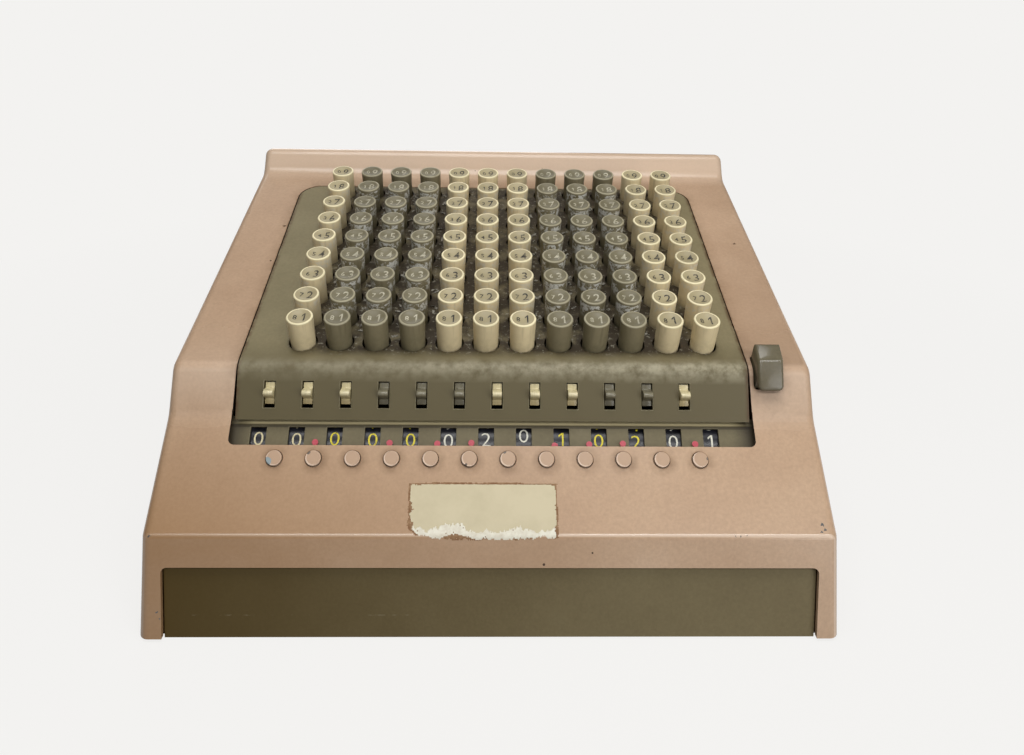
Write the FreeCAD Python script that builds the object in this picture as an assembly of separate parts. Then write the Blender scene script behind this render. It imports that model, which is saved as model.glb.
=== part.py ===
import FreeCAD, Part
import math
import os
from FreeCAD import Placement, Rotation, Vector

# Key-driven adding machine with a full keyboard.
# Millimetres. X runs to the right, Y to the back and Z up; the feet stand on Z = 0.

# Casing
casing_base_width = 334.6
casing_depth = 294.2
casing_wall = 2.5
casing_edge_radius = 5.0
side_draft = 2.35
floor_gap = 1.5
front_height = 47.5
front_lean = 18.0
crease_radius = 5.0
apron_slope = 40.6
step_slope = 60.5
step_blend_radius = 14.0
crest_radius = 9.0
lip_slope = 58.0
lip_blend_radius = 9.0
lip_height = 169.0
lip_rise = 8.87
lip_top_width = 9.0
lip_radius = 5.5
back_lean = 4.0
boss_length = 16.0
boss_reach = 11.0
boss_height = 15.0
boss_end_gap = 12.0
deck_hole_radius = 1.0
left_hole_gap = 2.6
left_hole_v = 111.0
right_hole_gap = 19.5
right_hole_v = 96.8

# Keyboard
key_columns = 12
key_rows = 9
key_pitch = 19.05
keyboard_offset_x = 4.8
first_row_setback = 85.9
first_row_height = 128.5
key_stand = 17.0
cap_top_radius = 6.8
cap_foot_radius = 6.3
cap_length = 22.0
cap_rim = 1.0
cap_rim_round = 0.6
cap_dish = 1.1
stem_width = 5.0
stem_thickness = 2.0
stem_socket = 8.0
longest_stroke = 12.0
key_hole_gap = 0.7
stem_gap = 0.4

# Keyboard panel
panel_width = 259.0
panel_thickness = 2.5
panel_gap = 0.6
panel_back_margin = 1.2
panel_corner_radius = 14.0
panel_skirt = 2.4
crest_reach = 18.0

# Register
wheel_count = 13
wheel_lead = 18.4
wheel_radius = 15.0
wheel_width = 9.0
wheel_rim = 2.5
wheel_hub_radius = 5.0
wheel_pocket = 6.0
star_radius = 8.0
star_width = 4.0
star_notch_radius = 1.6
wheel_gap = 0.6
plate_slope = 43.0
plate_thickness = 1.2
plate_width = 267.0
plate_top = 6.6
plate_foot = 7.0
ledge_slope = 25.0
ledge_length = 5.0
window_width = 8.0
window_height = 11.0
window_drop = 10.7
window_lead = 4.1
register_width = 262.5
register_sill = 15.4
register_corner_radius = 3.2

# Cut-off levers
lever_count = 12
lever_lead = 13.05
lever_slot_width = 5.6
lever_slot_length = 13.3
lever_slot_rise = 10.2
lever_rod_depth = 18.0
lever_tab_width = 4.8
lever_tab_length = 11.0
lever_tab_thickness = 4.0
lever_ridge_length = 3.6
lever_ridge_rise = 4.6
lever_arm_width = 5.0
lever_hub_radius = 3.5
lever_top_gap = 0.5

# Decimal markers, each a turning knob with an arm that carries a dot into the register
marker_lead = 7.55
marker_setdown = 22.1
marker_knob_radius = 3.85
marker_knob_rise = 1.3
marker_knob_edge = 0.4
marker_hole_gap = 0.3
marker_spindle_radius = 1.6
marker_arm_depth = 4.4
marker_arm_length = 9.2
marker_arm_width = 2.4
marker_arm_thickness = 0.8
marker_dot_radius = 1.55
marker_dot_thickness = 0.6
marker_turns = [68.0, -4.7, 68.0, -11.5, 18.3, 5.2, 68.0, 29.5, 18.2, 5.0, 68.0, -4.4]

# Clear key
clear_key_width = 13.0
clear_key_offset = 10.2
clear_key_lift = 6.2
clear_key_reach = 11.6
clear_key_front = 16.3
clear_key_length = 9.7
clear_key_tilt = 14.0
clear_key_drop = 8.0
clear_key_lip = 2.2
clear_key_round = 2.0
clear_key_edge = 1.8
clear_lip_cover = 0.6
clear_lip_gap = 1.5
clear_slot_gap = 0.9
clear_shaft_depth = 10.0
clear_hub_radius = 5.0
clear_hub_length = 10.0
clear_arm_width = 5.0
clear_arm_height = 6.0
clear_spring_radius = 4.2
clear_spring_length = 3.2
clear_side_gap = 0.5

# Front panel
front_panel_width = 311.0
front_panel_gap = 0.5
front_panel_thickness = 1.6
front_panel_lean = 18.0
front_notch_height = 33.0
front_notch_radius = 3.0
front_panel_recess = 0.4
front_panel_drop = 1.3
front_panel_overlap = 7.0

# Chassis
base_thickness = 2.0
base_gap = 0.8
base_height = 3.0
frame_thickness = 3.0
frame_inset = 1.5
frame_wheel_gap = 0.8
frame_tab_length = 18.0
frame_tab_width = 12.0
frame_tab_inset = 30.0
frame_back_gap = 8.0
shaft_radius = 2.5
shaft_seat = 0.05
running_gap = 0.06
guide_depth = 50.0
guide_thickness = 2.0
guide_margin = 9.0
spring_radius = 4.0
spring_bore_radius = 3.2
column_lever_depth = 80.0
column_lever_height = 8.0
column_lever_thickness = 2.5
column_lever_hub_radius = 5.5
column_lever_setback = 18.6
column_lever_front = 5.0
stem_end_gap = 0.6
foot_radius = 8.0
foot_top_radius = 9.5
foot_plug_radius = 3.0
foot_inset_x = 34.0
foot_inset_y = 34.0
screw_radius = 2.0
screw_head_radius = 3.6
screw_head_height = 2.2
screw_gap = 0.15
screw_bite = 9.0


def spread(angle):
    """Cosine and sine of an angle in degrees."""
    turn = math.radians(angle)
    return math.cos(turn), math.sin(turn)


def along(point, angle, distance):
    """Point at a distance from another, in the side view."""
    cosine, sine = spread(angle)
    return (point[0] + cosine * distance, point[1] + sine * distance)


def meet(point_a, angle_a, point_b, angle_b):
    """Crossing of two lines in the side view."""
    ca, sa = spread(angle_a)
    cb, sb = spread(angle_b)
    dy = point_b[0] - point_a[0]
    dz = point_b[1] - point_a[1]
    run = (dy * sb - dz * cb) / (ca * sb - sa * cb)
    return along(point_a, angle_a, run)


def deck_point(v, n):
    """Side-view place of a point v behind the first row and n above its key tops."""
    cosine, sine = spread(deck_slope)
    return (row_one[0] + v * cosine - n * sine, row_one[1] + v * sine + n * cosine)


def seat(x, point, angle):
    """Placement whose Y runs up a slope in the side view and whose Z stands off it."""
    return Placement(Vector(x, point[0], point[1]), Rotation(Vector(1, 0, 0), angle))


def half_width(z, inward=0.0):
    """Half of the casing's width at a height."""
    return casing_base_width / 2 - inward - (z - floor_gap) * math.tan(math.radians(side_draft))


# Side view of the casing, from the front's lower edge over the top to the back's lower edge
front_foot = (-casing_depth / 2, floor_gap)
back_foot = (casing_depth / 2, floor_gap)
row_one = (front_foot[0] + first_row_setback, floor_gap + first_row_height)
deck_back = along(back_foot, 90 + back_lean, (lip_height - lip_rise) / math.cos(math.radians(back_lean)))
deck_run = (deck_back[0] - row_one[0], deck_back[1] - row_one[1])
deck_slope = math.degrees(math.atan2(deck_run[1], deck_run[0]) + math.asin(key_stand / math.hypot(*deck_run)))
crease = along(front_foot, 90 - front_lean, front_height / math.cos(math.radians(front_lean)))
crest = deck_point(-crest_reach, -key_stand)
step_base = meet(crease, apron_slope, crest, step_slope)
lip_back = along(back_foot, 90 + back_lean, lip_height / math.cos(math.radians(back_lean)))
lip_front = (lip_back[0] - lip_top_width, lip_back[1])
lip_base = meet(crest, deck_slope, lip_front, lip_slope)
casing_outline = [front_foot, crease, step_base, crest, lip_base, lip_front, lip_back, back_foot]
casing_rounds = [0, crease_radius, step_blend_radius, crest_radius, lip_blend_radius, lip_radius, lip_radius, 0]
deck_cover = max(panel_thickness, casing_wall)
base_bottom = floor_gap + base_height
base_top = base_bottom + base_thickness

# Places of the working parts
panel_back = (key_rows - 1) * key_pitch + cap_top_radius + key_hole_gap + panel_back_margin
first_column_x = keyboard_offset_x - (key_columns - 1) / 2 * key_pitch
slot_centre = along(step_base, step_slope, lever_slot_rise)
lever_rod = along(slot_centre, step_slope - 90, lever_rod_depth)
window_centre = (step_base[0] - window_lead, step_base[1] - window_drop)
wheel_axis = along(window_centre, plate_slope - 90, plate_thickness + wheel_gap + wheel_radius)
marker_seat = along(step_base, apron_slope, -marker_setdown)
marker_foot = meet(marker_seat, apron_slope - 90, window_centre, plate_slope)
marker_depth = math.dist(marker_seat, marker_foot)
clear_axis_v = key_pitch / 2
clear_axis_n = -key_stand - clear_shaft_depth
clear_axis = deck_point(clear_axis_v, clear_axis_n)
column_axis_v = (key_rows - 1) * key_pitch + column_lever_setback
column_axis = deck_point(column_axis_v, -column_lever_depth)


def stroke(row):
    """Travel of a key: its lever turns by its figure, so middle rows travel furthest."""
    middle = (key_rows + 1) / 2
    return longest_stroke * row * (key_rows + 1 - row) / middle**2


def column_x(lead, index):
    """Place across the machine, counted in columns from a start left of the first keys."""
    return first_column_x - lead + index * key_pitch


wheels_left = wheel_width / 2 - column_x(wheel_lead, 0)
wheels_right = column_x(wheel_lead, wheel_count - 1) + wheel_width / 2 + star_width
frame_inner = max(panel_width / 2 - frame_inset - frame_thickness, max(wheels_left, wheels_right) + frame_wheel_gap)
frame_outer = frame_inner + frame_thickness
clear_key_room = frame_outer + clear_spring_length + clear_side_gap + clear_hub_length / 2
clear_key_x = max(panel_width / 2 + clear_key_offset, clear_key_room)


def turn_at(before, corner, after):
    """Signed turn at a corner in radians, positive where the path turns left."""
    ay, az = corner[0] - before[0], corner[1] - before[1]
    by, bz = after[0] - corner[0], after[1] - corner[1]
    return math.atan2(ay * bz - az * by, ay * by + az * bz)


def offset_path(points, gaps):
    """Closed path with each side moved to the right of travel by its own gap."""
    count = len(points)
    lines = []
    for i, (y, z) in enumerate(points):
        next_y, next_z = points[(i + 1) % count]
        angle = math.degrees(math.atan2(next_z - z, next_y - y))
        lines.append((along((y, z), angle - 90, gaps[i]), angle))
    return [meet(*lines[i - 1], *lines[i]) for i in range(count)]


def offset_rounds(points, rounds, gap):
    """Corner radii that keep a wall of even thickness, for a path walked clockwise."""
    count = len(points)
    made = []
    for i, radius in enumerate(rounds):
        left = turn_at(points[i - 1], points[i], points[(i + 1) % count]) > 0
        made.append(0 if radius == 0 else radius + gap if left else max(radius - gap, 0.3))
    return made


def rounded_face(points, rounds, place):
    """Flat face inside a closed path with rounded corners; place lifts a pair into space."""
    count = len(points)
    edges = []
    starts = []
    ends = []
    for i, corner in enumerate(points):
        before, after = points[i - 1], points[(i + 1) % count]
        turn = turn_at(before, corner, after)
        reach = rounds[i] * math.tan(abs(turn) / 2)
        into = math.degrees(math.atan2(corner[1] - before[1], corner[0] - before[0]))
        out = math.degrees(math.atan2(after[1] - corner[1], after[0] - corner[0]))
        start = along(corner, into, -reach)
        end = along(corner, out, reach)
        starts.append(start)
        ends.append(end)
        if reach > 0:
            side = 90 if turn > 0 else -90
            centre = along(start, into + side, rounds[i])
            middle = along(centre, into - side + math.degrees(turn) / 2, rounds[i])
            edges.append(Part.Arc(place(*start), place(*middle), place(*end)).toShape())
        edges.append((i, end))
    made = []
    for edge in edges:
        if isinstance(edge, tuple):
            i, end = edge
            made.append(Part.LineSegment(place(*end), place(*starts[(i + 1) % count])).toShape())
        else:
            made.append(edge)
    return Part.Face(Part.Wire(made))


def side_prism(points, rounds, left, right):
    """Solid with a side-view outline, from one X to another."""
    face = rounded_face(points, rounds, lambda y, z: Vector(left, y, z))
    return face.extrude(Vector(right - left, 0, 0))


def strip_outline(points, thickness):
    """Closed outline of a bent sheet, with its thickness to the right of the path."""
    count = len(points)
    lines = []
    for i in range(count - 1):
        angle = math.degrees(math.atan2(points[i + 1][1] - points[i][1], points[i + 1][0] - points[i][0]))
        lines.append((along(points[i], angle - 90, thickness), angle))
    inner = [lines[0][0]]
    for i in range(1, count - 1):
        inner.append(meet(*lines[i - 1], *lines[i]))
    inner.append(along(points[-1], lines[-1][1] - 90, thickness))
    return points + inner[::-1]


def box(x0, x1, y0, y1, z0, z1):
    """Box between two corners."""
    return Part.makeBox(x1 - x0, y1 - y0, z1 - z0, Vector(x0, y0, z0))


def rod(x0, x1, point, radius):
    """Round bar along X."""
    return Part.makeCylinder(radius, x1 - x0, Vector(x0, point[0], point[1]), Vector(1, 0, 0))


def placed(shape, placement):
    """Copy of a shape moved by a placement."""
    moved = shape.copy()
    moved.Placement = placement.multiply(moved.Placement)
    return moved


def drafted_block(inward):
    """Space between the casing's two leaning sides."""
    low, high = floor_gap - 20, lip_height + floor_gap + 20
    corners = []
    for side, z in ((-1, low), (-1, high), (1, high), (1, low)):
        corners.append((side * half_width(z, inward), z))
    back = casing_depth
    face = rounded_face(corners, [0] * 4, lambda x, z: Vector(x, -back, z))
    return face.extrude(Vector(0, 2 * back, 0))


def side_edges(shape):
    """Edges where the casing's sides meet its top, front and back."""
    found = []
    for edge in shape.Edges:
        ends = [vertex.Point for vertex in edge.Vertexes]
        on_side = all(abs(abs(p.x) - half_width(p.z)) < 0.01 for p in ends)
        same_side = ends[0].x * ends[-1].x > 0
        at_bottom = all(abs(p.z - floor_gap) < 0.01 for p in ends)
        if on_side and same_side and not at_bottom:
            found.append(edge)
    return found


def casing_shell():
    """Hollow casing, open below."""
    reach = casing_base_width
    outer = side_prism(casing_outline, casing_rounds, -reach, reach).common(drafted_block(0))
    outer = outer.makeFillet(casing_edge_radius, side_edges(outer))
    gaps = [casing_wall] * (len(casing_outline) - 1) + [-casing_wall]
    inner_outline = offset_path(casing_outline, gaps)
    inner_rounds = offset_rounds(casing_outline, casing_rounds, casing_wall)
    inner = side_prism(inner_outline, inner_rounds, -reach, reach).common(drafted_block(casing_wall))
    return outer.cut(inner)


def rounded_slab(x0, x1, y0, y1, z0, z1, rounds):
    """Slab with corner radii in the order left front, left back, right back, right front."""
    corners = [(x0, y0), (x0, y1), (x1, y1), (x1, y0)]
    face = rounded_face(corners, rounds, lambda x, y: Vector(x, y, z0))
    return face.extrude(Vector(0, 0, z1 - z0))


def deck_opening():
    """Cut through the deck for the keyboard panel, with round back corners."""
    half = panel_width / 2 + panel_gap
    round_back = panel_corner_radius + panel_gap
    slab = rounded_slab(-half, half, -crest_reach - key_pitch, panel_back + panel_gap,
                        -key_stand - key_pitch, key_stand, [0, round_back, round_back, 0])
    return placed(slab, seat(0, row_one, deck_slope))


def register_opening():
    """Cuts through the apron's upper end, square to it and with round lower corners, and through the step."""
    half = register_width / 2
    upper = panel_width / 2 + panel_gap
    depth = 4 * casing_wall
    slab = rounded_slab(-half, half, -register_sill, panel_skirt, -depth, depth,
                        [register_corner_radius, 0, 0, register_corner_radius])
    shoulder, top = step_base[1] - panel_skirt, crest[1] + key_pitch
    corners = [(-half, shoulder), (-upper, crest[1]), (-upper, top), (upper, top), (upper, crest[1]), (half, shoulder)]
    front = step_base[0] - key_pitch
    face = rounded_face(corners, [0] * len(corners), lambda x, z: Vector(x, front, z))
    return [placed(slab, seat(0, step_base, apron_slope)), face.extrude(Vector(0, crest[0] - front, 0))]


def front_notch():
    """Cut in the front wall for the front panel, open below."""
    half = front_panel_width / 2 + front_panel_gap
    top = floor_gap + front_notch_height
    low = floor_gap - casing_wall
    corners = [(-half, low), (-half, top), (half, top), (half, low)]
    rounds = [0, front_notch_radius, front_notch_radius, 0]
    front = front_foot[0] - casing_wall
    face = rounded_face(corners, rounds, lambda x, z: Vector(x, front, z))
    return face.extrude(Vector(0, crease[0] + crease_radius - front, 0))


def clear_key_corners():
    """Places in the deck's frame: the key's lower end, its upper front and back edges, and the slot's front end."""
    tilt = step_slope - deck_slope
    ridge = (-crest_reach, -key_stand)
    end = along(along(ridge, tilt, -clear_key_reach), tilt + 90, clear_key_lift)
    front_top = along(end, tilt, clear_key_front)
    back_top = along(front_top, clear_key_tilt, clear_key_length)
    return end, front_top, back_top, along(ridge, tilt, clear_lip_cover - clear_key_reach)


def clear_slot():
    """Cut in the deck and step for the clear key; the key's lower lip covers its front end."""
    half = clear_key_width / 2 + clear_slot_gap
    _, _, back_top, slot_end = clear_key_corners()
    slab = rounded_slab(clear_key_x - half, clear_key_x + half, slot_end[0], back_top[0] + clear_slot_gap,
                        clear_axis_n - clear_arm_height, 0, [clear_key_round] * 4)
    return placed(slab, seat(0, row_one, deck_slope))


def marker_holes():
    """Holes in the apron for the decimal marker knobs."""
    hole = Part.makeCylinder(marker_knob_radius + marker_hole_gap, 4 * casing_wall, Vector(0, 0, -2 * casing_wall))
    seats = [seat(column_x(marker_lead, i), marker_seat, apron_slope) for i in range(lever_count)]
    return [placed(hole, spot) for spot in seats]


def deck_holes():
    """Two small holes in the deck, one at each side of the keyboard panel."""
    hole = Part.makeCylinder(deck_hole_radius, 4 * casing_wall, Vector(0, 0, -key_stand - 2 * casing_wall))
    left = seat(-panel_width / 2 - left_hole_gap, deck_point(left_hole_v, 0), deck_slope)
    right = seat(panel_width / 2 + right_hole_gap, deck_point(right_hole_v, 0), deck_slope)
    return [placed(hole, left), placed(hole, right)]


def boss_places():
    """Centres of the casing's four screw bosses, seen from above."""
    x = half_width(base_top, casing_wall) - boss_reach / 2
    front = front_foot[0] + casing_wall + boss_end_gap + boss_length
    back = back_foot[0] - casing_wall - boss_end_gap - boss_length / 2
    return [(side * x, y) for side in (-1, 1) for y in (front, back)]


def casing_bosses():
    """Blocks inside the side walls that take the base screws."""
    made = []
    for x, y in boss_places():
        reach = boss_reach / 2
        outward = reach + casing_wall / 2
        x0, x1 = (x - outward, x + reach) if x < 0 else (x - reach, x + outward)
        block = box(x0, x1, y - boss_length / 2, y + boss_length / 2, base_top, base_top + boss_height)
        made.append(block.cut(screw_hole(x, y, base_top, screw_bite + 1)))
    return made


def screw_hole(x, y, z, length):
    """Clearance hole for a screw, upwards from z."""
    return Part.makeCylinder(screw_radius + screw_gap, length, Vector(x, y, z))


def top_casing():
    """Casing with its openings and screw bosses."""
    cuts = [deck_opening(), *register_opening(), front_notch(), clear_slot()] + marker_holes() + deck_holes()
    return casing_shell().cut(cuts).fuse(casing_bosses()).removeSplitter()


def key_places():
    """Column and row of every key, counted from the left and from the front."""
    return [(c, r) for r in range(key_rows) for c in range(key_columns)]


def keyboard_seat(column, row, n):
    """Placement of something on a key's axis, n above its top."""
    point = deck_point(row * key_pitch, n)
    return seat(first_column_x + column * key_pitch, point, deck_slope)


def keyboard_panel():
    """Sheet over the keyboard and the step, with key holes and lever slots."""
    skirt = along(step_base, step_slope, -panel_skirt)
    path = [skirt, crest, deck_point(panel_back, -key_stand)]
    outline = strip_outline(path, panel_thickness)
    rounds = [0, crest_radius, 0, 0, crest_radius - panel_thickness, 0]
    sheet = side_prism(outline, rounds, -panel_width / 2, panel_width / 2)
    corner = panel_corner_radius
    reach = crest_reach + key_pitch
    trim = rounded_slab(-panel_width / 2, panel_width / 2, -reach, panel_back,
                        -reach - key_stand, 0, [0, corner, corner, 0])
    sheet = sheet.common(placed(trim, seat(0, row_one, deck_slope)))
    hole = Part.makeCylinder(cap_top_radius + key_hole_gap, 4 * panel_thickness, Vector(0, 0, -2 * panel_thickness))
    cuts = [placed(hole, keyboard_seat(c, r, -key_stand)) for c, r in key_places()]
    slot = box(-lever_slot_width / 2, lever_slot_width / 2, -lever_slot_length / 2, lever_slot_length / 2,
               -2 * panel_thickness, 2 * panel_thickness)
    for i in range(lever_count):
        cuts.append(placed(slot, seat(column_x(lever_lead, i), slot_centre, step_slope)))
    return sheet.cut(cuts)


def register_path():
    """Bent line of the register plate's face: from under the markers up past the windows, and the ledge over them."""
    fold = along(window_centre, plate_slope, plate_top)
    return [along(marker_foot, plate_slope, -plate_foot), fold, along(fold, ledge_slope, ledge_length)]


def register_plate():
    """Plate behind the register opening, with numeral windows and holes for the marker spindles."""
    outline = strip_outline(register_path(), plate_thickness)
    sheet = side_prism(outline, [0] * len(outline), -plate_width / 2, plate_width / 2)
    window = box(-window_width / 2, window_width / 2, -window_height / 2, window_height / 2,
                 -2 * plate_thickness, 2 * plate_thickness)
    cuts = []
    for i in range(wheel_count):
        cuts.append(placed(window, seat(column_x(wheel_lead, i), window_centre, plate_slope)))
    hole = Part.makeCylinder(marker_spindle_radius + running_gap, 4 * plate_thickness,
                             Vector(0, 0, -marker_depth - 3 * plate_thickness))
    for i in range(lever_count):
        cuts.append(placed(hole, seat(column_x(marker_lead, i), marker_seat, apron_slope)))
    return sheet.cut(cuts)


def front_panel():
    """Plate set back in the casing's front notch."""
    top = floor_gap + front_notch_height
    edge = meet(front_foot, 90 - front_lean, (front_foot[0], top), 0)
    inside = (edge[0] + casing_wall / math.cos(math.radians(front_lean)) + front_panel_recess, top)
    upper = along(inside, 90 - front_panel_lean, front_panel_overlap)
    lowest = floor_gap - front_panel_drop
    lower = meet(inside, 90 - front_panel_lean, (0, lowest), 0)
    outline = strip_outline([lower, upper], front_panel_thickness)
    sheet = side_prism(outline, [0] * 4, -front_panel_width / 2, front_panel_width / 2)
    return sheet.common(box(-casing_base_width, casing_base_width, -casing_depth, casing_depth, lowest, crest[1]))


def base_outline():
    """Corners of the base plate, seen from above."""
    x = half_width(base_top, casing_wall) - base_gap
    lean = math.tan(math.radians(front_panel_lean))
    top = floor_gap + front_notch_height
    front_wall = front_foot[0] + front_notch_height * math.tan(math.radians(front_lean))
    inside = front_wall + casing_wall / math.cos(math.radians(front_lean)) + front_panel_recess
    sheet = front_panel_thickness / math.cos(math.radians(front_panel_lean))
    front = inside - (top - base_top) * lean + sheet + base_gap
    back = back_foot[0] - base_height - casing_wall - base_gap
    return x, front, back


def foot_places():
    """Centres of the four feet."""
    x, front, back = base_outline()
    return [(side * (x - foot_inset_x), y) for side in (-1, 1) for y in (front + foot_inset_y, back - foot_inset_y)]


def tab_places():
    """Centres of the frames' four base tabs, with the side that each one is on."""
    front = marker_seat[0] + frame_tab_inset
    back = column_axis[0] - frame_tab_inset
    x = frame_inner - frame_tab_width / 2
    return [(side * x, y, side) for side in (-1, 1) for y in (front, back)]


def base_plate():
    """Bottom sheet that carries the frames and closes the casing."""
    x, front, back = base_outline()
    sheet = box(-x, x, front, back, base_bottom, base_top)
    cuts = [screw_hole(px, py, base_bottom - 1, base_thickness + 2) for px, py in boss_places()]
    cuts += [screw_hole(px, py, base_bottom - 1, base_thickness + 2) for px, py, _ in tab_places()]
    for px, py in foot_places():
        cuts.append(Part.makeCylinder(foot_plug_radius + shaft_seat, base_thickness + 2, Vector(px, py, base_bottom - 1)))
    return sheet.cut(cuts)


def rubber_feet():
    """Four feet with plugs pushed into the base."""
    made = []
    for x, y in foot_places():
        pad = Part.makeCone(foot_radius, foot_top_radius, base_bottom, Vector(x, y, 0))
        plug = Part.makeCylinder(foot_plug_radius, base_thickness, Vector(x, y, base_bottom))
        made.append(pad.fuse(plug).removeSplitter())
    return Part.makeCompound(made)


def frame_outline():
    """Side view of a frame: behind the register plate and under the panel."""
    path = register_path()
    behind_plate = strip_outline(path, plate_thickness)[:len(path) - 1:-1]
    inner_step = along(step_base, step_slope - 90, deck_cover)
    inner_crest = meet(inner_step, step_slope, deck_point(0, -key_stand - deck_cover), deck_slope)
    low_step = meet(behind_plate[-1], 90, inner_step, step_slope)
    crest_trim = crest_radius * 0.6
    deck_end = deck_point(panel_back - panel_corner_radius, -key_stand - deck_cover)
    drop = along(deck_end, deck_slope - 90, 2 * casing_wall)
    back_y = column_axis[0] + frame_back_gap
    shoulder = meet(drop, deck_slope, (back_y, 0), 90)
    return [(behind_plate[0][0], base_top), *behind_plate, low_step,
            along(inner_crest, step_slope, -crest_trim), along(inner_crest, deck_slope, crest_trim),
            deck_end, drop, shoulder, (back_y, base_top)]


def shaft_places():
    """Axis and X span of each cross shaft."""
    outer = frame_outer + frame_thickness
    clear_end = clear_key_x + clear_hub_length / 2 + shaft_radius
    return [(wheel_axis, -outer, outer), (lever_rod, -outer, outer), (clear_axis, -outer, clear_end),
            (column_axis, -outer, outer)]


def side_frames():
    """Two upright plates that carry the shafts, each with two base tabs."""
    outline = frame_outline()
    holes = [rod(-casing_base_width, casing_base_width, axis, shaft_radius + shaft_seat) for axis, _, _ in shaft_places()]
    made = []
    for side in (-1, 1):
        left = frame_inner if side > 0 else -frame_outer
        plate = side_prism(outline, [0] * len(outline), left, left + frame_thickness).cut(holes)
        for x, y, tab_side in tab_places():
            if tab_side == side:
                tab = box(x - frame_tab_width / 2, x + frame_tab_width / 2, y - frame_tab_length / 2,
                          y + frame_tab_length / 2, base_top, base_top + frame_thickness)
                plate = plate.fuse(tab.cut(screw_hole(x, y, base_top - 1, frame_thickness + 2)))
        made.append(plate.removeSplitter())
    return Part.makeCompound(made)


def cross_shafts():
    """Bars between the frames: numeral wheels, cut-off levers, clear key and column levers."""
    return Part.makeCompound([rod(left, right, axis, shaft_radius) for axis, left, right in shaft_places()])


def key_guide_plate():
    """Sheet between the frames that keeps the key stems upright."""
    back = (key_rows - 1) * key_pitch + guide_margin
    sheet = box(-frame_inner, frame_inner, -guide_margin, back, -guide_depth - guide_thickness, -guide_depth)
    sheet = placed(sheet, seat(0, row_one, deck_slope))
    half_x, half_y = stem_width / 2 + stem_gap, stem_thickness / 2 + stem_gap
    slot = box(-half_x, half_x, -half_y, half_y, -2 * guide_thickness, guide_thickness)
    return sheet.cut([placed(slot, keyboard_seat(c, r, -guide_depth)) for c, r in key_places()])


def key_return_springs():
    """Sleeves at the pressed length of the coil springs that lift the keys."""
    length = guide_depth - cap_length - longest_stroke - stem_end_gap
    sleeve = Part.makeCylinder(spring_radius, length).cut(Part.makeCylinder(spring_bore_radius, length))
    return Part.makeCompound([placed(sleeve, keyboard_seat(c, r, -guide_depth)) for c, r in key_places()])


def key_cap():
    """Round cap with a dished top, its top centre plane at Z = 0, and a socket for its stem."""
    foot = Vector(cap_foot_radius, 0, -cap_length)
    shoulder = Vector(cap_top_radius, 0, -cap_rim_round)
    crown = Vector(cap_top_radius - cap_rim_round, 0, 0)
    bend = cap_rim_round * (1 - math.sqrt(0.5))
    mid_round = Vector(cap_top_radius - bend, 0, -bend)
    lip = Vector(cap_top_radius - cap_rim_round - cap_rim, 0, 0)
    bowl = Vector(0, 0, -cap_dish)
    centre_z = (lip.x**2 - cap_dish**2) / (2 * cap_dish)
    ball = centre_z + cap_dish
    half = lip.x / 2
    mid_bowl = Vector(half, 0, centre_z - math.sqrt(ball**2 - half**2))
    axis_foot = Vector(0, 0, -cap_length)
    wire = Part.Wire([Part.makeLine(axis_foot, foot), Part.makeLine(foot, shoulder),
                      Part.Arc(shoulder, mid_round, crown).toShape(), Part.makeLine(crown, lip),
                      Part.Arc(lip, mid_bowl, bowl).toShape(), Part.makeLine(bowl, axis_foot)])
    cap = Part.Face(wire).revolve(Vector(0, 0, 0), Vector(0, 0, 1), 360)
    return cap.cut(stem(-cap_length, -cap_length + stem_socket))


def stem(low, high):
    """Flat key stem between two levels."""
    return box(-stem_width / 2, stem_width / 2, -stem_thickness / 2, stem_thickness / 2, low, high)


def key_row(row):
    """All keys of one row, each a cap on a stem that ends above its column lever."""
    cap = key_cap()
    low = -column_lever_depth + column_lever_height / 2 + stem_end_gap + stroke(row)
    bar = stem(low, -cap_length + stem_socket)
    made = []
    for column in range(key_columns):
        spot = keyboard_seat(column, row - 1, 0)
        made += [placed(cap, spot), placed(bar, spot)]
    return Part.makeCompound(made)


def column_levers():
    """Long levers under the key columns, hung on the rear shaft."""
    reach = column_axis_v - column_lever_front
    half = column_lever_height / 2
    left = -column_lever_thickness / 2
    bar = box(left, -left, -reach, 0, -half, half)
    hub = Part.makeCylinder(column_lever_hub_radius, column_lever_thickness, Vector(left, 0, 0), Vector(1, 0, 0))
    bore = Part.makeCylinder(shaft_radius + running_gap, 2 * column_lever_thickness,
                             Vector(2 * left, 0, 0), Vector(1, 0, 0))
    lever = bar.fuse(hub).cut(bore).removeSplitter()
    return Part.makeCompound(
        [placed(lever, seat(column_x(0, i), column_axis, deck_slope)) for i in range(key_columns)])


def outer_rims(block, under_web, floor):
    """Side edges of the clear key's block, apart from those under its lip and at its foot."""
    found = []
    for edge in block.Edges:
        ends = [vertex.Point for vertex in edge.Vertexes]
        on_side = abs(ends[0].x - ends[-1].x) < 1e-6
        under_lip = any(math.dist((p.y, p.z), under_web) < 1e-6 for p in ends)
        at_foot = all(abs(p.z - floor) < 1e-6 for p in ends)
        if on_side and not under_lip and not at_foot:
            found.append(edge)
    return found


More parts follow.
